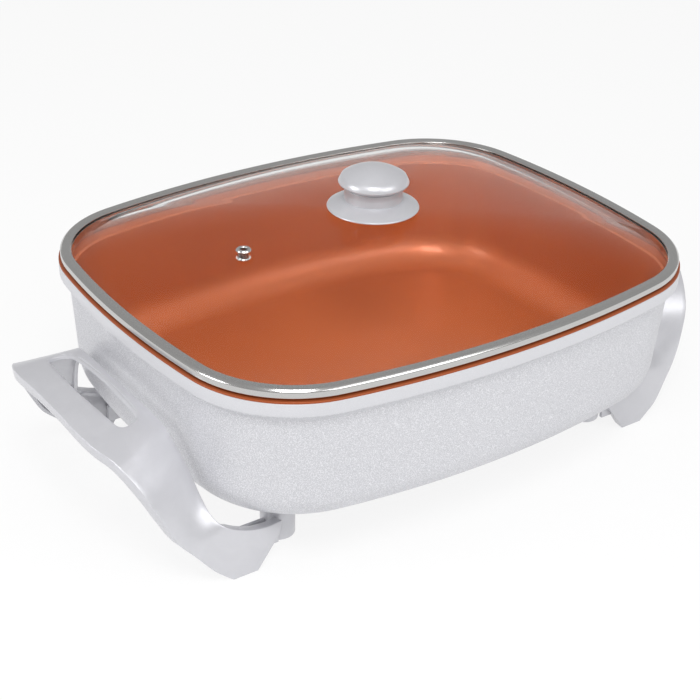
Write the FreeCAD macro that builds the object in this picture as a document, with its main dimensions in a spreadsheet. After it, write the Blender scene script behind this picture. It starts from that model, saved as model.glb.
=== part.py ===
import FreeCAD, Part
import math
import os
import re
import Sketcher

# An electric skillet: a rounded rectangular cast pan on two handles whose legs are its feet,
# a domed glass lid with a steel band, and a plug-in heat control under the right handle.
# Millimetres. X runs along the long side, the front is at -Y, +Z is up, the floor is Z = 0
# and the origin is under the middle of the pan.

Vector = FreeCAD.Vector
document = FreeCAD.newDocument("electric_skillet")

# Each row is a name, its value and what it means.
SIZES = [
    ("lid_half_length", 205, "outer edge of the lid band, along X"),
    ("lid_half_width", 170, "outer edge of the lid band, along Y"),
    ("lid_corner_radius", 82, "rounding of the lid band's corners"),
    ("lid_long_bow", 29, "how far the long sides swell outwards"),
    ("lid_short_bow", 21, "how far the short sides swell outwards"),
    ("base_half_length", 199, "pan wall carried down to the underside, along X"),
    ("base_half_width", 162, "pan wall carried down to the underside, along Y"),
    ("base_corner_radius", 84, "rounding of the pan's corners at the underside"),
    ("base_long_bow", 29, "swell of the long sides at the underside"),
    ("base_short_bow", 21, "swell of the short sides at the underside"),
    ("base_round", 29, "rounding between the pan's wall and underside"),
    ("underside_height", 44.5, "pan underside above the floor"),
    ("rim_height", 148, "top of the pan's lip above the floor"),
    ("lip_overhang", 1.5, "lip beyond the lid band"),
    ("lip_width", 6.5, "flat top of the lip"),
    ("collar_height", 11, "upright collar below the lip"),
    ("collar_slope", 6, "height of the slope under the collar"),
    ("collar_step", 6.5, "collar beyond the pan's wall"),
    ("ledge_depth", 12, "ledge inside the pan, below the rim"),
    ("ledge_width", 1.5, "width of the ledge inside the pan"),
    ("pan_wall", 3.2, "thickness of the pan's wall"),
    ("pan_floor", 5, "thickness of the pan's floor"),
    ("mount_inset_long", 59.5, "handle mounting bosses, in from the base's end"),
    ("mount_inset_deep", 70, "handle mounting bosses, in from the base's side"),
    ("mount_radius", 8.5, "radius of the pan's mounting bosses"),
    ("mount_bottom", 18, "lower end of the mounting bosses"),
    ("lug_radius", 12, "outer radius of the handle's lugs"),
    ("lug_bottom", 11.7, "lower face of the handle's lugs"),
    ("lug_top", 38, "upper edge of the handle's lugs"),
    ("lug_clearance", 0.2, "gap between a mounting boss and its lug"),
    ("screw_radius", 2, "shank radius of the handle screws"),
    ("screw_head_radius", 4, "head radius of the handle screws"),
    ("screw_sink", 3.3, "depth of the recess for a handle screw's head"),
    ("screw_length", 20, "length of the handle screws below the head"),
    ("grip_gap", 6, "gap between the lid band and the grip, seen from above"),
    ("grip_width", 51, "width of the grip along X"),
    ("handle_bow", 8, "swell of the grip's outer edge over its length"),
    ("grip_height", 110, "top of the grip above the floor"),
    ("grip_half_length", 60, "half of the level stretch of the grip"),
    ("leg_beyond_mount", 18, "outer face of the feet beyond the mounting bosses"),
    ("foot_setback", 77, "outer end of a foot, in from the grip's outer edge"),
    ("foot_length", 19, "length of a foot along X"),
    ("handle_depth", 8, "depth of the handle's hollow section"),
    ("handle_wall", 3, "thickness of the handle's wall"),
    ("slot_half_length", 52, "half length of the grip's slot"),
    ("slot_inset", 7, "grip's inner edge to its slot"),
    ("slot_width", 19, "width of the grip's slot"),
    ("slot_round", 8, "corner radius of the grip's slot"),
    ("element_inset_long", 62, "heating tube's loop, in from the base's end"),
    ("element_inset_deep", 77, "heating tube's loop, in from the base's side"),
    ("element_turn", 35, "bend radius of the heating tube's corners"),
    ("element_radius", 3.5, "radius of the heating tube"),
    ("element_height", 36, "centre of the heating tube above the floor"),
    ("terminal_spacing", 14, "terminal pins, distance each side of the middle"),
    ("terminal_radius", 2.4, "radius of the terminal pins"),
    ("terminal_inset", 19, "end of the heating tube, in from the base's end"),
    ("pin_room", 19, "room for a terminal pin inside its guard"),
    ("guard_side_room", 14, "from a terminal pin's middle to the side of its guard"),
    ("guard_wall", 2, "thickness of the terminal guard"),
    ("guard_height", 17.4, "height of the terminal guard"),
    ("probe_radius", 3.2, "radius of the temperature probe"),
    ("probe_depth", 68, "how far the temperature probe passes the heating tube's end"),
    ("sliding_fit", 0.06, "radial gap where the plug's pieces slide"),
    ("glass_thickness", 4, "thickness of the lid's glass"),
    ("glass_rise", 30, "height of the glass dome above the band's glass seat"),
    ("band_height", 7.5, "height of the lid's steel band"),
    ("band_width", 8, "width of the lid's steel band"),
    ("band_wall", 1.7, "thickness of the band above and below the glass"),
    ("lid_rest_gap", 0.3, "gap between the band and the pan's lip"),
    ("vent_place", 108, "steam vent, distance from the middle"),
    ("vent_radius", 5.5, "radius of the steam vent's flange"),
    ("vent_hole", 2.6, "radius of the steam vent's hole"),
    ("knob_flange_radius", 33, "widest radius of the knob's skirt"),
    ("knob_neck_radius", 20.6, "radius of the knob's neck"),
    ("knob_cap_radius", 25.3, "radius of the knob's cap"),
    ("knob_height", 31.6, "height of the knob above the glass"),
    ("knob_skirt_height", 16.5, "height of the knob's skirt and neck"),
    ("knob_screw_radius", 2.5, "shank radius of the knob's screw"),
    ("control_gap", 4, "gap between the guard and the heat control's case"),
    ("control_length", 51, "length of the heat control's case"),
    ("gland_length", 8, "cord gland beyond the heat control's case"),
    ("control_side_inset", 1, "side of the heat control's case, in from the guard's side"),
    ("control_half_height", 14, "half height of the heat control's case"),
    ("control_wall", 2.5, "thickness of the heat control's case"),
    ("dial_radius", 19.5, "radius of the heat dial"),
    ("dial_height", 7, "height of the heat dial"),
    ("spindle_radius", 3, "radius of the dial's spindle"),
]
ALIASES = {name for name, value, note in SIZES}

# Places that follow from the sizes.
PLACES = {
    "mount_across": "(base_half_length - mount_inset_long)",
    "mount_deep": "(base_half_width - mount_inset_deep)",
    "handle_near": "(lid_half_length + grip_gap)",
    "handle_reach": "(handle_near + grip_width)",
    "leg_deep": "(mount_deep + leg_beyond_mount)",
    "foot_outer": "(handle_reach - foot_setback)",
    "foot_inner": "(foot_outer - foot_length)",
    "slot_near": "(handle_near + slot_inset)",
    "slot_far": "(slot_near + slot_width)",
    "element_across": "(base_half_length - element_inset_long)",
    "element_deep": "(base_half_width - element_inset_deep)",
    "terminal_seat": "(base_half_length - terminal_inset)",
    "guard_end": "(terminal_seat + pin_room)",
    "guard_half_width": "(terminal_spacing + guard_side_room)",
    "probe_tip": "(terminal_seat - probe_depth)",
    "control_near": "(guard_end + control_gap)",
    "control_far": "(control_near + control_length)",
    "control_half_width": "(guard_half_width - control_side_inset)",
}


def make_sheet():
    sheet = document.addObject("Spreadsheet::Sheet", "Sizes")
    for row, (name, value, note) in enumerate(SIZES, start=1):
        sheet.set(f"A{row}", name)
        sheet.set(f"B{row}", str(value))
        sheet.set(f"C{row}", note)
        sheet.setAlias(f"B{row}", name)
    document.recompute()
    return sheet


sheet = make_sheet()


def bound(text):
    """A formula of size and place names, written the way the document reads it."""
    def written(word):
        if word[0] in PLACES:
            return bound(PLACES[word[0]])
        return "Sizes." + word[0] if word[0] in ALIASES else word[0]
    return re.sub(r"[a-z_]+", written, text)


def number(text):
    return float(document.Sizes.evalExpression(bound(text)))


def bind(thing, **formulas):
    for name, text in formulas.items():
        thing.setExpression(name, bound(text))


def place(thing, x="0", y="0", z="0"):
    for axis, text in (("x", x), ("y", y), ("z", z)):
        thing.setExpression(f"Placement.Base.{axis}", bound(text))


def cylinder(name, radius, height, x="0", y="0", z="0"):
    solid = document.addObject("Part::Cylinder", name)
    bind(solid, Radius=radius, Height=height)
    place(solid, x, y, z)
    return solid


def rod(name, radius, length, x="0", y="0", z="0"):
    """A cylinder that lies along X, from x onwards."""
    solid = cylinder(name, radius, length, x, y, z)
    solid.Placement.Rotation = FreeCAD.Rotation(Vector(0, 1, 0), 90)
    return solid


def box(name, low, high):
    """A box between two corners, each given as three formulas."""
    solid = document.addObject("Part::Box", name)
    spans = [f"({top}) - ({bottom})" for bottom, top in zip(low, high)]
    bind(solid, Length=spans[0], Width=spans[1], Height=spans[2])
    place(solid, *low)
    return solid


def fuse(name, *solids):
    joined = document.addObject("Part::MultiFuse", name)
    joined.Shapes = list(solids)
    return joined


def common(name, *solids):
    shared = document.addObject("Part::MultiCommon", name)
    shared.Shapes = list(solids)
    return shared


def cut(name, solid, tool):
    rest = document.addObject("Part::Cut", name)
    rest.Base = solid
    rest.Tool = tool
    return rest


def group(name, *solids):
    """Several separate solids under one name."""
    held = document.addObject("Part::Compound", name)
    held.Links = list(solids)
    return held


def mirrored(name, solid, normal):
    copy = document.addObject("Part::Mirroring", name)
    copy.Source = solid
    copy.Normal = normal
    return copy


def new_body(name):
    return document.addObject("PartDesign::Body", name)


def attach(sketch, body, role, offset):
    plane = [item for item in body.Origin.OriginFeatures if item.Role == role][0]
    sketch.AttachmentSupport = [(plane, "")]
    sketch.MapMode = "FlatFace"
    sketch.setExpression("AttachmentOffset.Base.z", bound(offset))


def dimension(sketch, constraint, name, text):
    index = sketch.addConstraint(constraint)
    sketch.renameConstraint(index, name)
    sketch.setExpression(f"Constraints.{name}", bound(text))


def outline_numbers(family, grow, shrink):
    """Radii and centres of one rounded outline: long side, short side and corner."""
    length, width, corner, long_bow, short_bow = (
        number(f"{family}_{part}") * shrink
        for part in ("half_length", "half_width", "corner_radius", "long_bow", "short_bow"))
    long_radius = (length ** 2 + long_bow ** 2) / (2 * long_bow)
    short_radius = (width ** 2 + short_bow ** 2) / (2 * short_bow)
    long_centre = Vector(0, width - long_radius, 0)
    short_centre = Vector(length - short_radius, 0, 0)
    reach = long_radius - corner
    other_reach = short_radius - corner
    apart = short_centre - long_centre
    along = (reach ** 2 - other_reach ** 2 + apart.Length ** 2) / (2 * apart.Length)
    aside = math.sqrt(reach ** 2 - along ** 2)
    across = Vector(apart.y, -apart.x, 0).normalize()
    corner_centre = long_centre + apart.normalize() * along + across * aside
    return {
        "long_radius": long_radius + grow,
        "short_radius": short_radius + grow,
        "corner_radius": corner + grow,
        "long_centre": long_centre,
        "short_centre": short_centre,
        "corner_centre": corner_centre,
    }


def add_outline(sketch, family, grow="0", shrink="1"):
    """Draws eight tangent arcs: two long sides, two short sides and four corners."""
    numbers = outline_numbers(family, number(grow), number(shrink))
    first = sketch.GeometryCount
    corner = numbers["corner_centre"]
    long_turn = math.atan2(corner.y - numbers["long_centre"].y, corner.x)
    short_turn = math.atan2(corner.y, corner.x - numbers["short_centre"].x)

    def arc(x, y, radius, start, end):
        circle = Part.Circle(Vector(x, y, 0), Vector(0, 0, 1), radius)
        return Part.ArcOfCircle(circle, start, end)

    far = math.pi
    long_y = numbers["long_centre"].y
    short_x = numbers["short_centre"].x
    long_r, short_r, corner_r = (numbers[name] for name in ("long_radius", "short_radius", "corner_radius"))
    sketch.addGeometry([
        arc(0, long_y, long_r, long_turn, far - long_turn),
        arc(-corner.x, corner.y, corner_r, far - long_turn, far - short_turn),
        arc(-short_x, 0, short_r, far - short_turn, far + short_turn),
        arc(-corner.x, -corner.y, corner_r, far + short_turn, far + long_turn),
        arc(0, -long_y, long_r, far + long_turn, 2 * far - long_turn),
        arc(corner.x, -corner.y, corner_r, -long_turn, -short_turn),
        arc(short_x, 0, short_r, -short_turn, short_turn),
        arc(corner.x, corner.y, corner_r, short_turn, long_turn),
    ], False)
    for index in range(8):
        following = first + (index + 1) % 8
        sketch.addConstraint(Sketcher.Constraint("Tangent", first + index, 2, following, 1))
    for index, axis in ((0, -2), (4, -2), (2, -1), (6, -1)):
        sketch.addConstraint(Sketcher.Constraint("PointOnObject", first + index, 3, axis))
    for index in (3, 5, 7):
        sketch.addConstraint(Sketcher.Constraint("Equal", first + 1, first + index))
    sketch.addConstraint(Sketcher.Constraint("Equal", first, first + 4))
    sketch.addConstraint(Sketcher.Constraint("Equal", first + 2, first + 6))

    half = {"long": "half_length", "short": "half_width"}
    radius = {
        side: f"(({family}_{half[side]} ^ 2 + {family}_{side}_bow ^ 2) / (2 * {family}_{side}_bow)) * ({shrink})"
        for side in ("long", "short")}
    tag = f"from_{first}"
    dimension(sketch, Sketcher.Constraint("Radius", first, long_r),
              f"long_{tag}", f"{radius['long']} + ({grow})")
    dimension(sketch, Sketcher.Constraint("Radius", first + 2, short_r),
              f"short_{tag}", f"{radius['short']} + ({grow})")
    dimension(sketch, Sketcher.Constraint("Radius", first + 1, corner_r),
              f"corner_{tag}", f"{family}_corner_radius * ({shrink}) + ({grow})")
    drop = f"{radius['long']} - {family}_half_width * ({shrink})"
    step = f"{radius['short']} - {family}_half_length * ({shrink})"
    dimension(sketch, Sketcher.Constraint("DistanceY", first, 3, -1, 1, -long_y), f"front_{tag}", drop)
    dimension(sketch, Sketcher.Constraint("DistanceY", -1, 1, first + 4, 3, -long_y), f"back_{tag}", drop)
    dimension(sketch, Sketcher.Constraint("DistanceX", -1, 1, first + 2, 3, -short_x), f"left_{tag}", step)
    dimension(sketch, Sketcher.Constraint("DistanceX", first + 6, 3, -1, 1, -short_x), f"right_{tag}", step)


def outline_sketch(body, name, height, family, grow="0", shrink="1"):
    sketch = body.newObject("Sketcher::SketchObject", name)
    attach(sketch, body, "XY_Plane", height)
    add_outline(sketch, family, grow, shrink)
    return sketch


def pin_point(sketch, geometry, end, name, x, y):
    """Ties one point of a sketch to two formulas."""
    for axis, text, line in (("X", x, -2), ("Y", y, -1)):
        value = number(text)
        if abs(value) < 1e-9:
            sketch.addConstraint(Sketcher.Constraint("PointOnObject", geometry, end, line))
        else:
            constraint = Sketcher.Constraint(f"Distance{axis}", -1, 1, geometry, end, value)
            dimension(sketch, constraint, f"{name}_{axis}", text)


def arc_through(start, middle, end):
    """The arc through three points, drawn anticlockwise, and whether it runs from start to end."""
    circle = Part.Arc(start, middle, end).toShape().Curve
    centre = circle.Center
    turned = (middle - start).cross(end - middle).z > 0
    first, last = (start, end) if turned else (end, start)
    angles = [math.atan2(point.y - centre.y, point.x - centre.x) for point in (first, last)]
    if angles[1] < angles[0]:
        angles[1] += 2 * math.pi
    whole = Part.Circle(centre, Vector(0, 0, 1), circle.Radius)
    return Part.ArcOfCircle(whole, *angles), turned


def profile_sketch(body, name, role, steps, offset="0", closed=True):
    """A closed outline: (x, y) is a corner, and (x, y, mx, my) is reached by an arc through (mx, my)."""
    sketch = body.newObject("Sketcher::SketchObject", name)
    attach(sketch, body, role, offset)
    points = [Vector(number(step[0]), number(step[1]), 0) for step in steps]
    count = len(steps) if closed else len(steps) - 1
    ends = []
    for index in range(count):
        following = (index + 1) % len(steps)
        step = steps[following]
        if len(step) == 4:
            middle = Vector(number(step[2]), number(step[3]), 0)
            arc, turned = arc_through(points[index], middle, points[following])
            geometry = sketch.addGeometry(arc, False)
            ends.append((geometry, 1, 2) if turned else (geometry, 2, 1))
        else:
            geometry = sketch.addGeometry(Part.LineSegment(points[index], points[following]), False)
            ends.append((geometry, 1, 2))
    for index in range(count if closed else count - 1):
        here = ends[index]
        following = ends[(index + 1) % count]
        sketch.addConstraint(Sketcher.Constraint("Coincident", here[0], here[2], following[0], following[1]))
    for index in range(count):
        geometry, start, end = ends[index]
        pin_point(sketch, geometry, start, f"corner_{index}", steps[index][0], steps[index][1])
        following = steps[(index + 1) % len(steps)]
        if len(following) == 4:
            mark = sketch.addGeometry(Part.Point(Vector(number(following[2]), number(following[3]), 0)), True)
            sketch.addConstraint(Sketcher.Constraint("PointOnObject", mark, 1, geometry))
            pin_point(sketch, mark, 1, f"way_{index}", following[2], following[3])
    if not closed:
        geometry, start, end = ends[-1]
        pin_point(sketch, geometry, end, "corner_last", steps[-1][0], steps[-1][1])
    return sketch


def pad(body, sketch, length):
    feature = body.newObject("PartDesign::Pad", f"{sketch.Name}_pad")
    feature.Profile = sketch
    feature.setExpression("Length", bound(length))
    return feature


def loft(body, sketches, kind="Additive", ruled=False):
    feature = body.newObject(f"PartDesign::{kind}Loft", f"{sketches[0].Name}_loft")
    feature.Profile = sketches[0]
    feature.Sections = sketches[1:]
    feature.Ruled = ruled
    return feature


def turned_body(name, steps, x="0", y="0"):
    """A piece turned about an upright axis at (x, y); steps are (radius, height) corners."""
    body = new_body(name)
    sketch = profile_sketch(body, f"{name}_profile", "XZ_Plane", steps)
    feature = body.newObject("PartDesign::Revolution", f"{name}_turn")
    feature.Profile = sketch
    feature.ReferenceAxis = (sketch, ["V_Axis"])
    feature.Angle = 360
    place(body, x, y)
    return body


def vessel(name, top, top_height, shape, grow, bottom, corner):
    """The space inside a tapered wall with a rounded bottom edge; top and shape are outline families."""
    body = new_body(name)
    upper = outline_sketch(body, f"{name}_top", top_height, top, WALL_GROW if grow == "0" else f"{WALL_GROW} + {grow}")
    lower = outline_sketch(body, f"{name}_foot", f"{bottom} + {corner}", shape, grow)
    loft(body, [upper, lower], ruled=True)
    rings = []
    for step in range(ROUND_STEPS + 1):
        angle = math.pi / 2 * step / ROUND_STEPS
        inwards = f"{grow} - ({corner}) * {1 - math.cos(angle):.5f}"
        upwards = f"{bottom} + ({corner}) * {1 - math.sin(angle):.5f}"
        rings.append(outline_sketch(body, f"{name}_ring_{step}", upwards, shape, inwards))
    loft(body, rings, ruled=True)
    return body


# The pan

WALL_TOP = "rim_height - collar_height - collar_slope"
COLLAR_BOTTOM = "rim_height - collar_height"
WALL_GROW = "lip_overhang - collar_step"
LEDGE_GROW = "lip_overhang - collar_step - pan_wall + ledge_width"
LEDGE_HEIGHT = "rim_height - ledge_depth"
ROUND_STEPS = 5


def pan_outside():
    body = vessel("pan_outside", "lid", WALL_TOP, "base", "0", "underside_height", "base_round")
    slope = outline_sketch(body, "slope_top", COLLAR_BOTTOM, "lid", "lip_overhang")
    slope_foot = outline_sketch(body, "slope_bottom", WALL_TOP, "lid", WALL_GROW)
    loft(body, [slope, slope_foot], ruled=True)
    collar = outline_sketch(body, "collar_bottom", COLLAR_BOTTOM, "lid", "lip_overhang")
    pad(body, collar, "collar_height")
    return body


def pan_inside():
    body = vessel("pan_inside", "lid", LEDGE_HEIGHT, "base", "-pan_wall",
                  "underside_height + pan_floor", "base_round - pan_wall")
    mouth = outline_sketch(body, "mouth_top", "rim_height + 1", "lid", "lip_overhang - lip_width")
    mouth_foot = outline_sketch(body, "mouth_bottom", LEDGE_HEIGHT, "lid", LEDGE_GROW)
    loft(body, [mouth, mouth_foot], ruled=True)
    return body


def element_route(body, name, start):
    """The heating tube's line: an open loop whose two ends run to the right."""
    near = "terminal_spacing"
    bend = "(element_turn / 2)"
    side = "element_deep - element_turn"
    steps = [
        (start, f"-{near}"),
        (f"element_across + {bend}", f"-{near}"),
        ("element_across", f"-{near} - {bend}",
         f"element_across + {bend} * 0.29289", f"-{near} - {bend} * 0.29289"),
        ("element_across", f"-({side})"),
        ("element_across - element_turn", "-element_deep",
         "element_across - element_turn * 0.29289", "-element_deep + element_turn * 0.29289"),
        ("-element_across + element_turn", "-element_deep"),
        ("-element_across", f"-({side})",
         "-element_across + element_turn * 0.29289", "-element_deep + element_turn * 0.29289"),
        ("-element_across", side),
        ("-element_across + element_turn", "element_deep",
         "-element_across + element_turn * 0.29289", "element_deep - element_turn * 0.29289"),
        ("element_across - element_turn", "element_deep"),
        ("element_across", side,
         "element_across - element_turn * 0.29289", "element_deep - element_turn * 0.29289"),
        ("element_across", f"{near} + {bend}"),
        (f"element_across + {bend}", near,
         f"element_across + {bend} * 0.29289", f"{near} + {bend} * 0.29289"),
        (start, near),
    ]
    return profile_sketch(body, name, "XY_Plane", steps, "element_height", closed=False)


def swept(body, name, section, route, kind="Additive"):
    feature = body.newObject(f"PartDesign::{kind}Pipe", name)
    feature.Profile = section
    feature.Spine = (route, [f"Edge{index + 1}" for index in range(13)])
    return feature


def round_section(body, name, radius, offset):
    sketch = body.newObject("Sketcher::SketchObject", name)
    attach(sketch, body, "YZ_Plane", offset)
    centre = Vector(-number("terminal_spacing"), number("element_height"), 0)
    circle = sketch.addGeometry(Part.Circle(centre, Vector(0, 0, 1), number(radius)), False)
    dimension(sketch, Sketcher.Constraint("Radius", circle, number(radius)), "radius", radius)
    pin_point(sketch, circle, 3, "centre", "-terminal_spacing", "element_height")
    return sketch


def element_ridge():
    """The cast ridge under the pan that holds the heating tube."""
    body = new_body("element_ridge")
    end = "terminal_seat - 7"
    route = element_route(body, "ridge_route", end)
    low = "element_height - 0.8"
    inner = "-terminal_spacing + element_radius + 2.5"
    outer = "-terminal_spacing - element_radius - 2.5"
    top = "underside_height + 1"
    section = profile_sketch(body, "ridge_section", "YZ_Plane",
                             [(outer, low), (inner, low), (inner, top), (outer, top)], end)
    swept(body, "ridge_sweep", section, route)
    return body


def heating_tube(name, radius, end):
    body = new_body(name)
    route = element_route(body, f"{name}_route", end)
    section = round_section(body, f"{name}_section", radius, end)
    swept(body, f"{name}_sweep", section, route)
    return body


def corner_posts(name, radius, bottom, top):
    """Four upright cylinders at the handle mounts."""
    posts = []
    for side in ("-", ""):
        for end in ("-", ""):
            post = cylinder(f"{name}_post", radius, f"({top}) - ({bottom})",
                            f"{side}mount_across", f"{end}mount_deep", bottom)
            posts.append(post)
    return fuse(name, *posts)


def make_pan():
    well = box("probe_well", ("probe_tip - 6", "-probe_radius - 4", "element_height - probe_radius - 3.4"),
               ("terminal_seat - 5", "probe_radius + 4", "underside_height + 1"))
    bosses = corner_posts("mounting_bosses", "mount_radius", "mount_bottom", "underside_height + 1")
    casting = fuse("pan_casting", pan_outside(), element_ridge(), well, bosses)
    bore = rod("probe_bore", "probe_radius + sliding_fit", "terminal_seat - probe_tip",
               "probe_tip - 1", "0", "element_height")
    groove = heating_tube("element_groove", "element_radius + 0.03", "terminal_seat")
    holes = corner_posts("mounting_holes", "screw_radius + 0.03", "mount_bottom - 1",
                         "lug_bottom + screw_sink + screw_length + 1.5")
    guard_holes = guard_screw_rods("guard_holes", "1.53", "underside_height - 1", "4")
    return cut("pan", casting, fuse("pan_hollows", pan_inside(), bore, groove, holes, guard_holes))


# The heating tube's ends and their guard

GUARD_TOP = "underside_height - 0.1"
GUARD_BOTTOM = "underside_height - 0.1 - guard_height"
GUARD_SCREW_X = "terminal_seat - 20"
GUARD_SCREW_Y = "guard_half_width - 4"


def guard_screw_rods(name, radius, bottom, height):
    rods = [cylinder(f"{name}_rod", radius, height, GUARD_SCREW_X, f"{side}({GUARD_SCREW_Y})", bottom)
            for side in ("-", "")]
    return group(name, *rods)


def make_terminals():
    pins = []
    for side in ("-", ""):
        pin = rod("terminal_pin", "terminal_radius", "guard_end - 1.5 - terminal_seat",
                  "terminal_seat", f"{side}terminal_spacing", "element_height")
        rounded = document.addObject("Part::Fillet", "terminal_pin_tip")
        rounded.Base = pin
        document.recompute()
        tip = [index for index, edge in enumerate(pin.Shape.Edges, start=1)
               if edge.BoundBox.XMin > number("guard_end - 2")]
        rounded.Edges = [(index, 1.2, 1.2) for index in tip]
        pins.append(rounded)
    return group("terminal_pins", *pins)


def make_insulators():
    bushes = []
    for side in ("-", ""):
        y = f"{side}terminal_spacing"
        outside = rod("insulator_outside", "element_radius + 2", "11", "terminal_seat - 6.5", y, "element_height")
        seat = rod("insulator_seat", "element_radius + 0.03", "6.5", "terminal_seat - 6.5", y, "element_height")
        hole = rod("insulator_hole", "terminal_radius + 0.03", "12", "terminal_seat - 6.5", y, "element_height")
        bushes.append(cut("insulator", outside, fuse("insulator_hollow", seat, hole)))
    return group("terminal_insulators", *bushes)


def make_guard():
    inner = "terminal_seat - 8"
    wide = "guard_half_width"
    outside = box("guard_outside", (inner, f"-{wide}", GUARD_BOTTOM), ("guard_end", wide, GUARD_TOP))
    tabs = [box("guard_tab", (f"{GUARD_SCREW_X} - 6", f"{low}", f"{GUARD_TOP} - guard_wall"),
                (f"{inner} + 1", f"{high}", GUARD_TOP))
            for low, high in ((f"-{wide}", f"-{wide} + 7.2"), (f"{wide} - 7.2", wide))]
    shell = fuse("guard_shell", outside, *tabs)
    room = box("guard_room", (f"{inner} - 1", f"-{wide} + guard_wall", f"{GUARD_BOTTOM} + guard_wall"),
               ("guard_end + 1", f"{wide} - guard_wall", f"{GUARD_TOP} - guard_wall"))
    notch = box("guard_notch", (f"{inner} - 1", f"-{wide} + 7.4", f"{GUARD_TOP} - guard_wall - 1"),
                ("terminal_seat + 5", f"{wide} - 7.4", f"{GUARD_TOP} + 1"))
    holes = guard_screw_rods("guard_tab_holes", "1.7", f"{GUARD_TOP} - guard_wall - 1", "guard_wall + 2")
    return cut("terminal_guard", shell, fuse("guard_hollows", room, notch, holes))


def make_guard_screws():
    shanks = guard_screw_rods("guard_screw_shanks", "1.5", f"{GUARD_TOP} - guard_wall", "guard_wall + 3")
    heads = guard_screw_rods("guard_screw_heads", "3", f"{GUARD_TOP} - guard_wall - 1.8", "1.8")
    return fuse("guard_screws", shanks, heads)


# The handles

def arch(inset):
    """Half circuit of the handle seen from the side, as (y, z) steps, drawn inset by a wall."""
    foot = f"leg_deep - ({inset})"
    return [
        (f"-({foot})", "0"),
        (f"-({foot})", "12"),
        (f"-(leg_deep - 7 - ({inset}))", "44"),
        (f"-(leg_deep - 14 - ({inset}))", f"grip_height - 37 - ({inset}) * 0.3"),
        (f"-(grip_half_length - ({inset}) * 0.3)", f"grip_height - 6 - ({inset})",
         f"-(leg_deep - 24.5 - ({inset}) * 0.7)", f"grip_height - 17 - ({inset}) * 0.7"),
        (f"grip_half_length - ({inset}) * 0.3", f"grip_height - 6 - ({inset})",
         "0", f"grip_height - ({inset})"),
        (f"leg_deep - 14 - ({inset})", f"grip_height - 37 - ({inset}) * 0.3",
         f"leg_deep - 24.5 - ({inset}) * 0.7", f"grip_height - 17 - ({inset}) * 0.7"),
        (f"leg_deep - 7 - ({inset})", "44"),
        (foot, "12"),
        (foot, "0"),
    ]


def arch_body(name, outer, inner):
    """The space between two arches, all along the handle's reach."""
    bodies = []
    for label, inset in (("outer", outer), ("inner", inner)):
        body = new_body(f"{name}_{label}")
        sketch = profile_sketch(body, f"{name}_{label}_arch", "YZ_Plane", arch(inset), "-handle_reach - 8")
        pad(body, sketch, "handle_reach + 8 - mount_across + 2")
        bodies.append(body)
    return cut(name, *bodies)


def front_body(name, inset):
    """The handle's outline seen from the front, as a slab that runs right through."""
    grow = f"({inset})"
    steps = [
        (f"-(foot_outer - {grow})", f"{grow}"),
        (f"-(foot_outer + 13 - {grow})", f"12 + {grow} * 0.4"),
        (f"-(handle_reach - 23.5 - {grow})", "grip_height - 32",
         f"-(handle_reach - 38 - {grow})", "43"),
        (f"-(handle_reach - 11 - {grow})", "grip_height - 9"),
        (f"-(handle_reach + 8 - {grow})", "grip_height + 12"),
        (f"-(handle_near + {grow})", "grip_height + 12"),
        (f"-(handle_near + {grow})", "grip_height - 6"),
        (f"-(handle_near - 13 + {grow})", "grip_height - 44",
         f"-(handle_near - 7.5 + {grow})", "grip_height - 22"),
        (f"-(handle_near - 16.5 + {grow})", f"48 - {grow}"),
        (f"-(handle_near - 33)", f"38 - {grow}",
         f"-(handle_near - 22 + {grow} * 0.7)", f"42 - {grow}"),
        (f"-(mount_across + 3.5)", f"33 - {grow}"),
        (f"-(mount_across + 3.5)", f"lug_bottom + {grow}"),
        (f"-(foot_inner - 9 + {grow} * 0.6)", f"lug_bottom + {grow}"),
        (f"-(foot_inner + {grow} * 0.4)", f"{grow}"),
    ]
    body = new_body(name)
    sketch = profile_sketch(body, f"{name}_outline", "XZ_Plane", steps, "-leg_deep - 5")
    pad(body, sketch, "leg_deep * 2 + 10")
    return body


def plan_body(name, inset):
    """The handle's outline seen from above, which swells at the grip."""
    side = "leg_deep + 5"

    def outer(back):
        return f"-(handle_reach - {back} - ({inset}))"

    steps = [
        ("-mount_across + 2", f"-({side})"),
        (outer("43"), f"-({side})"),
        (outer("26"), "-(leg_deep - 9)"),
        (outer("handle_bow"), "-(grip_half_length + 2)", outer("14"), "-(leg_deep - 28)"),
        (outer("handle_bow"), "grip_half_length + 2", outer("0"), "0"),
        (outer("26"), "leg_deep - 9", outer("14"), "leg_deep - 28"),
        (outer("43"), side),
        ("-mount_across + 2", side),
    ]
    body = new_body(name)
    sketch = profile_sketch(body, f"{name}_outline", "XY_Plane", steps, "-1")
    pad(body, sketch, "grip_height + 10")
    return body


def slot_body(name, grow):
    """The grip's slot, a long rounded rectangle, made larger by grow."""
    near = f"-(slot_near - ({grow}))"
    far = f"-(slot_far + ({grow}))"
    tall = f"slot_half_length + ({grow})"
    turn = f"(slot_round + ({grow}))"
    bend = f"{turn} * 0.29289"
    steps = [
        (near, f"-({tall}) + {turn}", f"{near} - {bend}", f"-({tall}) + {bend}"),
        (near, f"{tall} - {turn}"),
        (f"{near} - {turn}", tall, f"{near} - {bend}", f"{tall} - {bend}"),
        (f"{far} + {turn}", tall),
        (far, f"{tall} - {turn}", f"{far} + {bend}", f"{tall} - {bend}"),
        (far, f"-({tall}) + {turn}"),
        (f"{far} + {turn}", f"-({tall})", f"{far} + {bend}", f"-({tall}) + {bend}"),
        (f"{near} - {turn}", f"-({tall})"),
    ]
    body = new_body(name)
    sketch = profile_sketch(body, f"{name}_outline", "XY_Plane", steps, "grip_height - 30")
    pad(body, sketch, "40")
    return body


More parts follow.
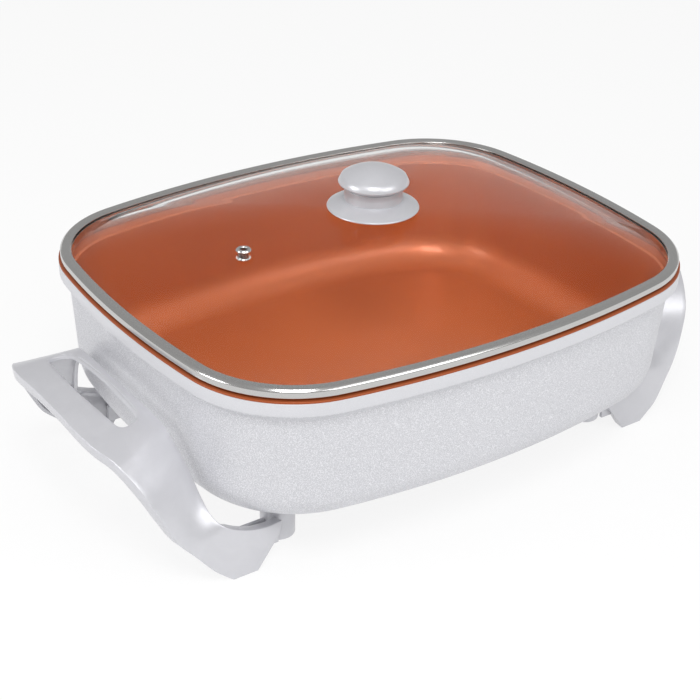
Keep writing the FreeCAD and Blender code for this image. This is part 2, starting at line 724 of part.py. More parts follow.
def handle_block(name, outer, inner, inset):
    return common(name, arch_body(f"{name}_arch", outer, inner),
                  front_body(f"{name}_front", inset), plan_body(f"{name}_plan", inset))


def handle_lug(side):
    """The ring round one mounting boss, with the plate that joins it to the leg."""
    y = f"{side}mount_deep"
    ring = cylinder("lug_ring", "lug_radius", "lug_top - lug_bottom", "-mount_across", y, "lug_bottom")
    near, far = ("mount_deep - 8", "leg_deep - 1")
    low, high = (f"-({far})", f"-({near})") if side else (near, far)
    plate = box("lug_plate", ("-foot_inner - 8", low, "lug_bottom"),
                ("-mount_across", high, "lug_bottom + handle_wall"))
    return fuse("lug", ring, plate)


def lug_hollow(side):
    y = f"{side}mount_deep"
    seat = cylinder("lug_seat", "mount_radius + lug_clearance", "lug_top", "-mount_across", y, "mount_bottom")
    hole = cylinder("lug_hole", "screw_radius + 0.3", "20", "-mount_across", y, "lug_bottom - 1")
    sink = cylinder("lug_sink", "screw_head_radius + 0.4", "screw_sink + 1",
                    "-mount_across", y, "lug_bottom - 1")
    return fuse("lug_hollow", seat, hole, sink)


def make_handles():
    block = handle_block("grip_block", "0", "handle_depth", "0")
    hollow = handle_block("grip_hollow", "handle_wall", "handle_depth + 4", "handle_wall")
    shell = cut("grip_shell", block, hollow)
    slot_wall = common("slot_wall", slot_body("slot_rim", "handle_wall"), block)
    solid = fuse("handle_solid", shell, slot_wall, handle_lug("-"), handle_lug(""))
    hollows = fuse("handle_hollows", slot_body("slot", "0"), lug_hollow("-"), lug_hollow(""))
    left = cut("left_handle", solid, hollows)
    return left, mirrored("right_handle", left, (1, 0, 0))


def handle_screws(side):
    label = "left" if side else "right"
    head_bottom = "lug_bottom + 0.2"
    under_head = "lug_bottom + screw_sink - 0.8"
    screws = []
    washers = []
    for end in ("-", ""):
        x, y = f"{side}mount_across", f"{end}mount_deep"
        head = cylinder("screw_head", "screw_head_radius", f"{under_head} - ({head_bottom})", x, y, head_bottom)
        shank = cylinder("screw_shank", "screw_radius", "screw_length", x, y, under_head)
        slot = box("screw_slot", (f"{x} - 0.6", f"{y} - screw_head_radius", f"{head_bottom} - 1"),
                   (f"{x} + 0.6", f"{y} + screw_head_radius", f"{head_bottom} + 1"))
        screws.append(cut("handle_screw", fuse("screw_solid", head, shank), slot))
        ring = cylinder("washer_ring", "screw_head_radius + 0.2", "0.8", x, y, under_head)
        bore = cylinder("washer_bore", "screw_radius + 0.1", "0.8", x, y, under_head)
        washers.append(cut("washer", ring, bore))
    return [group(f"{label}_handle_screws", *screws), group(f"{label}_handle_washers", *washers)]


# The lid

GLASS_SEAT = "rim_height + lid_rest_gap + band_wall"
GLASS_CROWN = GLASS_SEAT + " + glass_thickness + glass_rise"
DOME = (("1", "0"), ("0.84", "0.36"), ("0.62", "0.66"), ("0.38", "0.88"), ("0.16", "1"))


def dome(name, lowered):
    """A dome over the lid's outline; each row of DOME is a share of the outline and of the rise."""
    body = new_body(name)
    foot = f"{GLASS_SEAT} + glass_thickness - ({lowered})"
    sketches = []
    for index, (share, rise) in enumerate(DOME):
        grow = f"(-band_width - 1 - ({lowered}) * 0.6) * {share}"
        sketches.append(outline_sketch(body, f"{name}_ring_{index}", f"{foot} + glass_rise * {rise}",
                                       "lid", grow, share))
    loft(body, sketches)
    return body


def make_glass():
    rim = new_body("glass_rim")
    flat = outline_sketch(rim, "glass_edge", GLASS_SEAT, "lid", "-3")
    pad(rim, flat, "glass_thickness")
    knob_hole = cylinder("glass_knob_hole", "knob_screw_radius + 1.5", "60", "0", "0", "rim_height")
    vent = cylinder("glass_vent_hole", "vent_radius - 1.2", "60", "-vent_place", "0", "rim_height")
    solid = fuse("glass_solid", rim, dome("glass_outside", "0"))
    shell = cut("glass_shell", solid, dome("glass_inside", "glass_thickness"))
    return cut("lid_glass", shell, fuse("glass_holes", knob_hole, vent))


def outline_ring(name, bottom, height, outer, inner):
    body = new_body(name)
    sketch = outline_sketch(body, f"{name}_outline", bottom, "lid", outer)
    add_outline(sketch, "lid", inner)
    pad(body, sketch, height)
    return body


def make_band():
    """A folded steel ring that holds the edge of the glass, with a skirt that drops inside the lip."""
    bottom = "rim_height + lid_rest_gap"
    ring = outline_ring("band_ring", bottom, "band_height", "0", "-band_width")
    skirt = outline_ring("band_skirt", f"{bottom} - 6", "6.5", "-band_width + 1.5", "-band_width")
    groove = outline_ring("band_groove", GLASS_SEAT, "glass_thickness", "-2.97", "-band_width - 1")
    return cut("lid_band", fuse("band_solid", ring, skirt), groove)


def dome_height(place_x):
    """Height of the glass at a distance from the middle, read between the dome's rows."""
    share = number(place_x) / number("lid_half_length")
    rows = [(float(outer), float(rise)) for outer, rise in DOME]
    for (outer, low), (inner, high) in zip(rows, rows[1:]):
        if inner <= share <= outer:
            part = (outer - share) / (outer - inner)
            return f"{GLASS_SEAT} + glass_thickness + glass_rise * {low + (high - low) * part:.4f}"
    return GLASS_CROWN


def make_vent():
    """A rolled eyelet through the glass, with a flange just clear of the slope above and below."""
    top = dome_height("vent_place") + " + 0.6"
    under = dome_height("vent_place") + " - glass_thickness - 1.7"
    barrel = "vent_radius - 1.4"
    return turned_body("vent_eyelet", [
        ("vent_hole", f"{under} - 0.8"),
        (barrel + " + 1.2", f"{under} - 0.8"),
        (barrel + " + 1.2", under),
        (barrel, under),
        (barrel, top),
        ("vent_radius", top),
        ("vent_radius", f"{top} + 0.6"),
        ("vent_radius - 1", f"{top} + 1.4"),
        ("vent_hole + 0.4", f"{top} + 1.4"),
        ("vent_hole", f"{top} + 0.9")], "-vent_place")


def make_knob():
    crown = GLASS_CROWN
    gasket = turned_body("knob_gasket", [
        ("knob_screw_radius + 1.6", crown), ("16", crown), ("16", f"{crown} + 1.6"),
        ("knob_screw_radius + 1.6", f"{crown} + 1.6")])
    floor = f"{crown} + 1.6"
    edge = f"{crown} + 0.4"
    neck = f"{crown} + 9"
    top = f"{crown} + knob_skirt_height"
    skirt = turned_body("knob_skirt", [
        ("knob_screw_radius + 0.3", floor),
        ("16", floor),
        ("knob_neck_radius - 3", f"{neck} - 3"),
        ("knob_flange_radius - 4", edge),
        ("knob_flange_radius - 1.2", edge),
        ("knob_flange_radius", f"{edge} + 1.4"),
        ("knob_neck_radius", neck),
        ("knob_neck_radius + 0.6", top),
        ("knob_neck_radius - 2", top),
        ("knob_neck_radius - 2.6", f"{neck} + 1"),
        ("knob_screw_radius + 0.3", f"{floor} + 4")])
    cap_top = f"{crown} + knob_height"
    drop = "7.6"
    half = "knob_cap_radius * 0.45"
    ball = f"(((knob_cap_radius * 0.9) ^ 2 + {drop} ^ 2) / (2 * {drop}))"
    cap = turned_body("knob_cap", [
        ("0", f"{floor} + 18"),
        ("knob_screw_radius + 0.03", f"{floor} + 18"),
        ("knob_screw_radius + 0.03", f"{floor} + 5"),
        ("knob_screw_radius + 3", f"{floor} + 5"),
        ("knob_screw_radius + 4.5", f"{top} + 1.5"),
        ("knob_neck_radius - 3.6", f"{top} + 1.5"),
        ("knob_neck_radius - 3.6", f"{top} - 1.5"),
        ("knob_neck_radius - 2.2", f"{top} - 1.5"),
        ("knob_neck_radius - 2.2", f"{top} + 0.05"),
        ("knob_neck_radius", f"{top} + 0.05"),
        ("knob_cap_radius - 1.5", f"{top} + 1.6"),
        ("knob_cap_radius", f"{top} + 4"),
        ("knob_cap_radius * 0.9", f"{cap_top} - {drop}", "knob_cap_radius * 0.985", f"{cap_top} - 9.4"),
        ("0", cap_top, half, f"{cap_top} - ({ball} - sqrt({ball} ^ 2 - ({half}) ^ 2))")])
    return [gasket, skirt, cap]


def make_knob_fixing():
    under = f"{GLASS_CROWN} - glass_thickness"
    washer = turned_body("knob_washer", [
        ("knob_screw_radius + 0.1", f"{under} - 1.4"), ("12", f"{under} - 1.4"),
        ("12", under), ("knob_screw_radius + 0.1", under)])
    head = f"{under} - 1.4"
    screw = turned_body("knob_screw", [
        ("0", f"{head} - 1.6"),
        ("2", f"{head} - 1.6"),
        ("2", f"{head} - 3.2"),
        ("5", f"{head} - 2.4"),
        ("6", head),
        ("knob_screw_radius", head),
        ("knob_screw_radius", f"{head} + 22"),
        ("0", f"{head} + 22")])
    return [washer, screw]


# The heat control

CONTROL_X = "(control_near + control_far) / 2 + 2.5"
NOSE_HALF_WIDTH = "guard_half_width - guard_wall - 0.6"
NOSE_HALF_HEIGHT = "(guard_height - guard_wall * 2) / 2 - 0.5"
NOSE_MIDDLE = "underside_height - 0.1 - guard_height / 2"
DIAL_BOTTOM = "element_height + control_half_height + 0.4"
SOCKET_RADIUS = "terminal_radius + 1.2"
CONTROL_SCREWS = (("control_near + 10", "-1"), ("control_near + 10", "1"), ("control_far - 7.5", "-1"))


def control_tunnels(name):
    """The bores along the plug's nose: two for the sockets and one for the probe."""
    rods = [rod(f"{name}_bore", f"{SOCKET_RADIUS} + 0.05", "control_near - terminal_seat + 3",
                "terminal_seat", f"{side}terminal_spacing", "element_height") for side in ("-", "")]
    probe = rod(f"{name}_probe", "probe_radius + 0.05", "control_near - terminal_seat + 6",
                "terminal_seat", "0", "element_height")
    return fuse(name, *rods, probe)


def control_case(name, upper):
    """Half of the case and half of the plug's nose, with the screw pillars inside."""
    wide = "control_half_width"
    wall = "control_wall"
    if upper:
        low, high, floor, roof = ("element_height", "element_height + control_half_height",
                                  "element_height", "element_height + control_half_height - control_wall")
        nose_low, nose_high = "element_height", f"{NOSE_MIDDLE} + {NOSE_HALF_HEIGHT}"
    else:
        low, high, floor, roof = ("element_height - control_half_height", "element_height",
                                  "element_height - control_half_height + control_wall", "element_height")
        nose_low, nose_high = f"{NOSE_MIDDLE} - ({NOSE_HALF_HEIGHT})", "element_height"
    case = new_body(f"{name}_case")
    corner = "6"
    outline = rounded_rectangle("control_near", "control_far", wide, corner)
    inside = rounded_rectangle(f"control_near + {wall}", f"control_far - {wall}", f"{wide} - {wall}",
                               f"{corner} - {wall}")
    pad(case, profile_sketch(case, f"{name}_outline", "XY_Plane", outline, low), f"({high}) - ({low})")
    room = new_body(f"{name}_room")
    pad(room, profile_sketch(room, f"{name}_inside", "XY_Plane", inside, floor), f"({roof}) - ({floor})")
    nose = box(f"{name}_nose", ("terminal_seat + 4.6", f"-({NOSE_HALF_WIDTH})", nose_low),
               (f"control_near + {wall} + 1", NOSE_HALF_WIDTH, nose_high))
    pillars = [cylinder(f"{name}_pillar", "3.5", f"({roof}) - ({floor})", x,
                        f"{side} * (control_half_width - 7)", floor) for x, side in CONTROL_SCREWS]
    shell = fuse(f"{name}_solid", cut(f"{name}_shell", case, room), nose, *pillars)
    gland = rod(f"{name}_gland_hole", "6.05", "10", "control_far - 5", "0", "element_height")
    hollows = [control_tunnels(f"{name}_tunnels"), gland]
    for x, side in CONTROL_SCREWS:
        hollows.append(cylinder(f"{name}_screw_hole", "1.55", "control_half_height + 6", x,
                                f"{side} * (control_half_width - 7)", "element_height - control_half_height"))
        hollows.append(cylinder(f"{name}_screw_sink", "3.1", "2.2", x,
                                f"{side} * (control_half_width - 7)",
                                "element_height - control_half_height - 0.1"))
    if upper:
        hollows.append(cylinder("spindle_hole", "spindle_radius + sliding_fit", "20", CONTROL_X, "0",
                                "element_height + 2"))
        hollows.append(cylinder("lens_hole", "3.55", "20", "control_far - 7", "control_half_width - 8",
                                "element_height + 8"))
    return cut(name, shell, fuse(f"{name}_hollows", *hollows))


def rounded_rectangle(near, far, half_width, corner):
    bend = f"({corner}) * 0.29289"
    return [
        (f"{near} + ({corner})", f"-({half_width})",
         f"{near} + {bend}", f"-({half_width}) + {bend}"),
        (f"{far} - ({corner})", f"-({half_width})"),
        (far, f"-({half_width}) + ({corner})", f"{far} - {bend}", f"-({half_width}) + {bend}"),
        (far, f"{half_width} - ({corner})"),
        (f"{far} - ({corner})", half_width, f"{far} - {bend}", f"{half_width} - {bend}"),
        (f"{near} + ({corner})", half_width),
        (near, f"{half_width} - ({corner})", f"{near} + {bend}", f"{half_width} - {bend}"),
        (near, f"-({half_width}) + ({corner})"),
    ]


def make_control_parts():
    probe = rod("probe_rod", "probe_radius", "control_near + 8 - probe_tip", "probe_tip", "0", "element_height")
    sockets = []
    for side in ("-", ""):
        y = f"{side}terminal_spacing"
        start = "terminal_seat + 5"
        outside = rod("socket_outside", SOCKET_RADIUS, "control_near - terminal_seat - 2.5", start, y,
                      "element_height")
        inside = rod("socket_inside", "terminal_radius + sliding_fit", "guard_end + 2 - terminal_seat", start, y,
                     "element_height")
        sockets.append(cut("socket", outside, inside))
    plate = box("thermostat_plate", ("control_near + 5", "-12", "element_height - 8"),
                ("control_far - 12", "12", "element_height - 7"))
    pillar = box("blade_pillar", ("control_far - 17", "-4", "element_height - 7"),
                 ("control_far - 12", "4", "element_height - 5.2"))
    post = box("probe_clamp", ("control_near + 5", "-5", "element_height - 7"),
               ("control_near + 8", "5", "element_height"))
    clamp = cut("thermostat_frame", fuse("thermostat_solid", plate, pillar, post),
                rod("probe_clamp_bore", "probe_radius + 0.02", "6", "control_near + 4", "0", "element_height"))
    blade = box("bimetal_blade", ("control_near + 10", "-3", "element_height - 5.2"),
                ("control_far - 12", "3", "element_height - 4.4"))
    lamp = cylinder("neon_lamp", "2.5", "9", "control_far - 7", "control_half_width - 8",
                    "element_height + 1.6")
    lens = cylinder("indicator_lens", "3.5", "control_wall + 1.2", "control_far - 7",
                    "control_half_width - 8", "element_height + control_half_height - control_wall")
    screws = []
    for x, side in CONTROL_SCREWS:
        y = f"{side} * (control_half_width - 7)"
        low = "element_height - control_half_height"
        shank = cylinder("case_screw_shank", "1.5", "control_half_height + 4", x, y, f"{low} + 1")
        head = cylinder("case_screw_head", "3", "1.8", x, y, f"{low} + 0.3")
        screws.append(fuse("case_screw", shank, head))
    gland_tube = rod("gland_tube", "6", "gland_length + 5", "control_far - 5", "0", "element_height")
    gland_flange = rod("gland_flange", "7.6", "2", "control_far - 4.6", "0", "element_height")
    gland_bore = rod("gland_bore", "3.4", "20", "control_far - 6", "0", "element_height")
    gland = cut("cord_gland", fuse("gland_solid", gland_tube, gland_flange), gland_bore)
    return [probe, group("contact_sockets", *sockets), clamp, blade, lamp, lens,
            group("control_case_screws", *screws), gland]


def make_dial():
    bottom = DIAL_BOTTOM
    disc = turned_body("dial_disc", [
        ("spindle_radius", bottom),
        ("dial_radius - 0.6", bottom),
        ("dial_radius", f"{bottom} + 0.6"),
        ("dial_radius", f"{bottom} + 2.4"),
        ("dial_radius - 5", f"{bottom} + 3.6"),
        ("spindle_radius", f"{bottom} + 3.6")], CONTROL_X)
    grip = box("dial_grip", (f"{CONTROL_X} - dial_radius + 5.5", "-3.2", f"{bottom} + 3"),
               (f"{CONTROL_X} + dial_radius - 5.5", "3.2", f"{bottom} + dial_height"))
    bore = cylinder("dial_bore", "spindle_radius + 0.03", "dial_height - 1.2", CONTROL_X, "0", bottom)
    dial = cut("heat_dial", fuse("dial_solid", disc, grip), bore)
    spindle = cylinder("dial_spindle", "spindle_radius", f"{bottom} + dial_height - 1.2 - (element_height - 2)",
                       CONTROL_X, "0", "element_height - 2")
    return [dial, spindle]


def sub_parts():
    parts = [make_pan(), heating_tube("heating_element", "element_radius", "terminal_seat")]
    parts += [make_terminals(), make_insulators(), make_guard(), make_guard_screws()]
    parts += make_handles()
    parts += handle_screws("-") + handle_screws("")
    parts += [make_glass(), make_band(), make_vent()]
    parts += make_knob() + make_knob_fixing()
    parts += [control_case("control_upper_case", True), control_case("control_lower_case", False)]
    parts += make_control_parts() + make_dial()
    return parts


def check(parts):
    for thing in document.Objects:
        if "Invalid" in thing.State or "Error" in thing.State:
            raise SystemExit(f"{thing.Name} did not build: {thing.State}")
    for part in parts:
        if part.Shape.isNull() or not part.Shape.isValid() or not part.Shape.Solids:
            raise SystemExit(f"{part.Name} is not a valid solid")


def write(parts):
    os.makedirs("parts", exist_ok=True)
    for part in parts:
        part.Shape.exportStep(f"parts/{part.Label}.step")
        print(f"{part.Label}: {len(part.Shape.Solids)} solids, {part.Shape.Volume / 1000:.2f} cm3")


parts = sub_parts()
document.recompute()
check(parts)
write(parts)
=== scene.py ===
import math

import bmesh
import bpy
from mathutils import Matrix, Vector


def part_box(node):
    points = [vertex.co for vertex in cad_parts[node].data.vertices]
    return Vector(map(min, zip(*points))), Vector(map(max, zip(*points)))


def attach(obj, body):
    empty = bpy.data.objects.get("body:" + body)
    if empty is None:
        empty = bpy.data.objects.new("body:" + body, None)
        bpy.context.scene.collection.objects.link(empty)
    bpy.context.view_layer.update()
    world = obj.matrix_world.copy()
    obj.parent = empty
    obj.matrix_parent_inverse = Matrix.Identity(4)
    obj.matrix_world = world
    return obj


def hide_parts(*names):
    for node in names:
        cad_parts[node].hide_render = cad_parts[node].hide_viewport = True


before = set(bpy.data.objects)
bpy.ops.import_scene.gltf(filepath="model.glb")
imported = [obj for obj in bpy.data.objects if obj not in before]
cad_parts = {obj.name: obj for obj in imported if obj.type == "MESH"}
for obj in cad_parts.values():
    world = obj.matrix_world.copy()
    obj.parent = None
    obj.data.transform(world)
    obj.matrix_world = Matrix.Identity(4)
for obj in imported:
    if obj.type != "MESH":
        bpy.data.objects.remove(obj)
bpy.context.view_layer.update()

MM = 0.001
BAND_LOW, BAND_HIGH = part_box("lid_band")

# Driving sizes, in millimetres. Lengths and widths are half of the whole; a bow is how far a side swells.
LID = {"length": BAND_HIGH[0] / MM, "width": BAND_HIGH[1] / MM,
       "corner": 82.0, "long_bow": 29.0, "short_bow": 21.0}
BASE = {"length": 199.0, "width": 162.0, "corner": 84.0, "long_bow": 29.0, "short_bow": 21.0}
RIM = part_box("pan")[1][2] / MM
UNDERSIDE = 44.5
BAND_BOTTOM = RIM + 0.3

# Straight steps along each part of an outline.
CORNER_STEPS = 22
LONG_STEPS = 40
SHORT_STEPS = 30

# The most of a section's side that one rounded corner may take.
SIDE_SHARE = 0.49

# Meshes: points nearer than the first are merged, edges shorter than the second go, both in metres.
MERGE_WITHIN = 0.00001
SHORTEST_EDGE = 0.000001


# Outlines and sections

def arcs_of(shape, grow, share=1.0):
    """Centres, radii and turning angles of the long side, corner and short side in one quarter."""
    length, width, corner, long_bow, short_bow = (
        shape[key] * share for key in ("length", "width", "corner", "long_bow", "short_bow"))
    long_radius = (length ** 2 + long_bow ** 2) / (2 * long_bow)
    short_radius = (width ** 2 + short_bow ** 2) / (2 * short_bow)
    long_centre = Vector((0, width - long_radius))
    short_centre = Vector((length - short_radius, 0))
    apart = short_centre - long_centre
    reach = long_radius - corner
    other = short_radius - corner
    along = (reach ** 2 - other ** 2 + apart.length ** 2) / (2 * apart.length)
    aside = math.sqrt(reach ** 2 - along ** 2)
    direction = apart.normalized()
    corner_centre = long_centre + direction * along + Vector((direction.y, -direction.x)) * aside
    long_turn = math.atan2(corner_centre.y - long_centre.y, corner_centre.x)
    short_turn = math.atan2(corner_centre.y, corner_centre.x - short_centre.x)
    return [
        (short_centre, short_radius + grow, 0.0, short_turn, SHORT_STEPS // 2),
        (corner_centre, corner + grow, short_turn, long_turn, CORNER_STEPS),
        (long_centre, long_radius + grow, long_turn, math.pi / 2, LONG_STEPS // 2),
    ]


def outline(shape, height, grow=0.0, share=1.0):
    """The rounded rectangle's points at one height, in metres, once round from +X."""
    quarter = []
    for centre, radius, start, end, steps in arcs_of(shape, grow, share):
        for step in range(steps):
            angle = start + (end - start) * step / steps
            quarter.append((centre.x + radius * math.cos(angle), centre.y + radius * math.sin(angle)))
    long_centre, long_radius = arcs_of(shape, grow, share)[2][:2]
    top = (0.0, long_centre.y + long_radius)
    half = quarter + [top] + [(-x, y) for x, y in reversed(quarter[1:])]
    whole = half + [(-quarter[0][0], 0.0)] + [(-x, -y) for x, y in half[1:]]
    return [Vector((x * MM, y * MM, height * MM)) for x, y in whole]


def soften(corners, closed=True, steps=4):
    """Rounds the corners of a section; each corner is (across, height, radius)."""
    count = len(corners)
    points = []
    for index, (x, y, radius) in enumerate(corners):
        here = Vector((x, y))
        at_end = not closed and index in (0, count - 1)
        if radius == 0 or at_end:
            points.append(here)
            continue
        before = Vector(corners[index - 1][:2]) - here
        after = Vector(corners[(index + 1) % count][:2]) - here
        half = before.angle(after) / 2
        reach = min(radius / math.tan(half), before.length * SIDE_SHARE, after.length * SIDE_SHARE)
        start = here + before.normalized() * reach
        end = here + after.normalized() * reach
        for step in range(steps + 1):
            share = step / steps
            points.append((1 - share) ** 2 * start + 2 * share * (1 - share) * here + share ** 2 * end)
    return points


# Modelling steps

def deselect():
    """Leaves edit mode and lets go of every object."""
    if bpy.context.object and bpy.context.object.mode != "OBJECT":
        bpy.ops.object.mode_set(mode="OBJECT")
    bpy.ops.object.select_all(action="DESELECT")


def settle(piece):
    """Puts the object at the origin with its place in its mesh."""
    deselect()
    piece.select_set(True)
    bpy.context.view_layer.objects.active = piece
    bpy.ops.object.transform_apply(location=True, rotation=True, scale=True)


def smooth_below(degrees):
    """Shades the active object smooth where its faces meet at less than an angle."""
    bpy.ops.object.shade_smooth_by_angle(angle=math.radians(degrees))


def finish_mesh(piece, angle=35.0):
    """Merges doubles, turns the faces outwards and shades smooth across gentle angles."""
    settle(piece)
    bpy.ops.object.mode_set(mode="EDIT")
    bpy.ops.mesh.select_all(action="SELECT")
    bpy.ops.mesh.remove_doubles(threshold=MERGE_WITHIN)
    bpy.ops.mesh.dissolve_degenerate(threshold=SHORTEST_EDGE)
    bpy.ops.mesh.select_all(action="SELECT")
    bpy.ops.mesh.normals_make_consistent(inside=False)
    bpy.ops.object.mode_set(mode="OBJECT")
    smooth_below(angle)
    return piece


def apply_all(piece):
    """Applies the object's modifiers in their order."""
    settle(piece)
    for modifier in list(piece.modifiers):
        bpy.ops.object.modifier_apply(modifier=modifier.name)
    return piece


def loop_of(name, points):
    """A ring of edges, as the start of a skin; each point keeps its number for the rings that follow."""
    deselect()
    bpy.ops.mesh.primitive_circle_add(vertices=len(points), radius=0.1)
    piece = bpy.context.object
    piece.name = name
    piece.data.name = name
    place = piece.data.attributes.new("place", "INT", "POINT")
    for vertex, point in zip(piece.data.vertices, points):
        place.data[vertex.index].value = vertex.index
        vertex.co = point
    return piece


def skin(name, rings, closed=False, cap_first=False, cap_last=False, angle=35.0):
    """Extrudes a ring of edges from each ring of points to the next."""
    piece = loop_of(name, rings[0])
    bpy.ops.object.mode_set(mode="EDIT")
    bpy.ops.mesh.select_all(action="SELECT")
    if cap_first:
        bpy.ops.mesh.edge_face_add()
    for ring in rings[1:] + ([rings[0]] if closed else []):
        bpy.ops.mesh.extrude_edges_move()
        shape = bmesh.from_edit_mesh(piece.data)
        place = shape.verts.layers.int["place"]
        for vertex in shape.verts:
            if vertex.select:
                vertex.co = ring[vertex[place]]
        bmesh.update_edit_mesh(piece.data)
    if cap_last:
        bpy.ops.mesh.edge_face_add()
    bpy.ops.object.mode_set(mode="OBJECT")
    piece.data.attributes.remove(piece.data.attributes["place"])
    return finish_mesh(piece, angle)


def turned(name, section, centre=(0.0, 0.0), steps=96, axis="Z", angle=35.0):
    """Spins a closed section, given as (radius, height) in millimetres, round an axis."""
    deselect()
    bpy.ops.mesh.primitive_circle_add(vertices=len(section), radius=0.1)
    piece = bpy.context.object
    piece.name = name
    piece.data.name = name
    for vertex, (across, along) in zip(piece.data.vertices, section):
        vertex.co = (across * MM, 0, along * MM)
    bpy.ops.object.mode_set(mode="EDIT")
    bpy.ops.mesh.select_all(action="SELECT")
    bpy.ops.mesh.spin(steps=steps, angle=math.tau, center=(0, 0, 0), axis=(0, 0, 1))
    bpy.ops.object.mode_set(mode="OBJECT")
    if axis == "X":
        piece.rotation_euler = (0, math.pi / 2, 0)
    piece.location = (centre[0] * MM, centre[1] * MM, (centre[2] if len(centre) > 2 else 0) * MM)
    return finish_mesh(piece, angle)


def block(name, low, high, round_by=0.5, segments=2):
    """A box between two corners in millimetres, with rounded edges."""
    deselect()
    middle = [(a + b) / 2 * MM for a, b in zip(low, high)]
    bpy.ops.mesh.primitive_cube_add(size=1, location=middle)
    piece = bpy.context.object
    piece.name = name
    piece.data.name = name
    piece.scale = [(b - a) * MM for a, b in zip(low, high)]
    settle(piece)
    if round_by:
        bpy.ops.object.mode_set(mode="EDIT")
        bpy.ops.mesh.select_all(action="SELECT")
        bpy.ops.mesh.bevel(offset=round_by * MM, segments=segments)
        bpy.ops.object.mode_set(mode="OBJECT")
    smooth_below(35)
    return piece


def join(name, pieces):
    """Makes one object of several, under a new name."""
    deselect()
    for piece in pieces:
        piece.select_set(True)
    bpy.context.view_layer.objects.active = pieces[0]
    bpy.ops.object.join()
    pieces[0].name = name
    pieces[0].data.name = name
    return pieces[0]


def combine(piece, tool, operation):
    """Cuts or adds a tool shape, which is then removed."""
    modifier = piece.modifiers.new(operation.lower(), "BOOLEAN")
    modifier.object = tool
    modifier.operation = operation
    modifier.solver = "EXACT"
    apply_all(piece)
    bpy.data.objects.remove(tool)
    return piece


def drill(piece, name, radius, low, high, centre=(0.0, 0.0)):
    """Cuts an upright round hole between two heights, in millimetres."""
    tool = turned(name, [(0, low), (radius, low), (radius, high), (0, high)], centre, 32)
    return combine(piece, tool, "DIFFERENCE")


def mirrored_x(piece, name):
    """A copy of a piece on the other side of the object's middle."""
    twin = piece.copy()
    twin.data = piece.data.copy()
    twin.name = name
    twin.data.name = name
    bpy.context.collection.objects.link(twin)
    twin.data.transform(Matrix.Scale(-1, 4, (1, 0, 0)))
    twin.data.flip_normals()
    return twin


def put(piece, body, material, replaces=()):
    """Gives a piece its body, its finish and the node that it stands for."""
    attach(piece, body)
    piece.data.materials.clear()
    for item in material if isinstance(material, (list, tuple)) else (material,):
        piece.data.materials.append(item)
    if replaces:
        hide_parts(*replaces)
    return piece


# Shared surface effects

def new_group(name, inputs, outputs):
    """An empty node group; inputs and outputs are (name, kind, default)."""
    group = bpy.data.node_groups.new(name, "ShaderNodeTree")
    for label, kind, default in inputs:
        socket = group.interface.new_socket(label, in_out="INPUT", socket_type=kind)
        if default is not None:
            socket.default_value = default
    for label, kind in outputs:
        group.interface.new_socket(label, in_out="OUTPUT", socket_type=kind)
    start = group.nodes.new("NodeGroupInput")
    end = group.nodes.new("NodeGroupOutput")
    return group, start, end


def noise(tree, vector, scale, detail=3.0, rough=0.5, distortion=0.0):
    """Fractal noise between 0 and 1; the scale is a number or a socket."""
    node = tree.nodes.new("ShaderNodeTexNoise")
    node.inputs["Detail"].default_value = detail
    node.inputs["Roughness"].default_value = rough
    node.inputs["Distortion"].default_value = distortion
    tree.links.new(vector, node.inputs["Vector"])
    if isinstance(scale, (int, float)):
        node.inputs["Scale"].default_value = scale
    else:
        tree.links.new(scale, node.inputs["Scale"])
    return node.outputs["Fac"]


def spread(tree, value, low, high, to_low, to_high):
    """Maps a value from one span to another, held at the ends."""
    node = tree.nodes.new("ShaderNodeMapRange")
    for label, number in (("From Min", low), ("From Max", high), ("To Min", to_low), ("To Max", to_high)):
        if isinstance(number, (int, float)):
            node.inputs[label].default_value = number
        else:
            tree.links.new(number, node.inputs[label])
    tree.links.new(value, node.inputs["Value"])
    return node.outputs["Result"]


def calculate(tree, operation, first, second):
    """One sum of two numbers or sockets."""
    node = tree.nodes.new("ShaderNodeMath")
    node.operation = operation
    for socket, value in zip(node.inputs, (first, second)):
        if isinstance(value, (int, float)):
            socket.default_value = value
        else:
            tree.links.new(value, socket)
    return node.outputs["Value"]


def blend_colours(tree, mask, first, second):
    """The first colour where the mask is 0, the second where it is 1."""
    node = tree.nodes.new("ShaderNodeMix")
    node.data_type = "RGBA"
    tree.links.new(mask, node.inputs["Factor"])
    for socket, value in ((node.inputs["A"], first), (node.inputs["B"], second)):
        if isinstance(value, (tuple, list)):
            socket.default_value = (*value, 1.0)
        else:
            tree.links.new(value, socket)
    return node.outputs["Result"]


def make_pebble_group():
    """The orange peel and fleck of a sprayed coat: a height, a mask of flecks and a roughness."""
    group, start, end = new_group(
        "sprayed_coat",
        [("Vector", "NodeSocketVector", None), ("Grain", "NodeSocketFloat", 900.0),
         ("Low Roughness", "NodeSocketFloat", 0.35), ("High Roughness", "NodeSocketFloat", 0.55)],
        [("Height", "NodeSocketFloat"), ("Flecks", "NodeSocketFloat"), ("Roughness", "NodeSocketFloat")])
    vector = start.outputs["Vector"]
    grain = start.outputs["Grain"]
    fine = noise(group, vector, grain, 2.0, 0.6)
    coarse = noise(group, vector, calculate(group, "MULTIPLY", grain, 0.33), 2.0, 0.5)
    height = calculate(group, "ADD", calculate(group, "MULTIPLY", fine, 0.45), coarse)
    group.links.new(height, end.inputs["Height"])
    flecks = noise(group, vector, calculate(group, "MULTIPLY", grain, 1.9), 1.0, 0.5)
    group.links.new(spread(group, flecks, 0.46, 0.66, 0.0, 1.0), end.inputs["Flecks"])
    drift = noise(group, vector, 9.0, 2.0)
    low, high = start.outputs["Low Roughness"], start.outputs["High Roughness"]
    roughness = spread(group, drift, 0.35, 0.65, low, high)
    group.links.new(roughness, end.inputs["Roughness"])
    return group


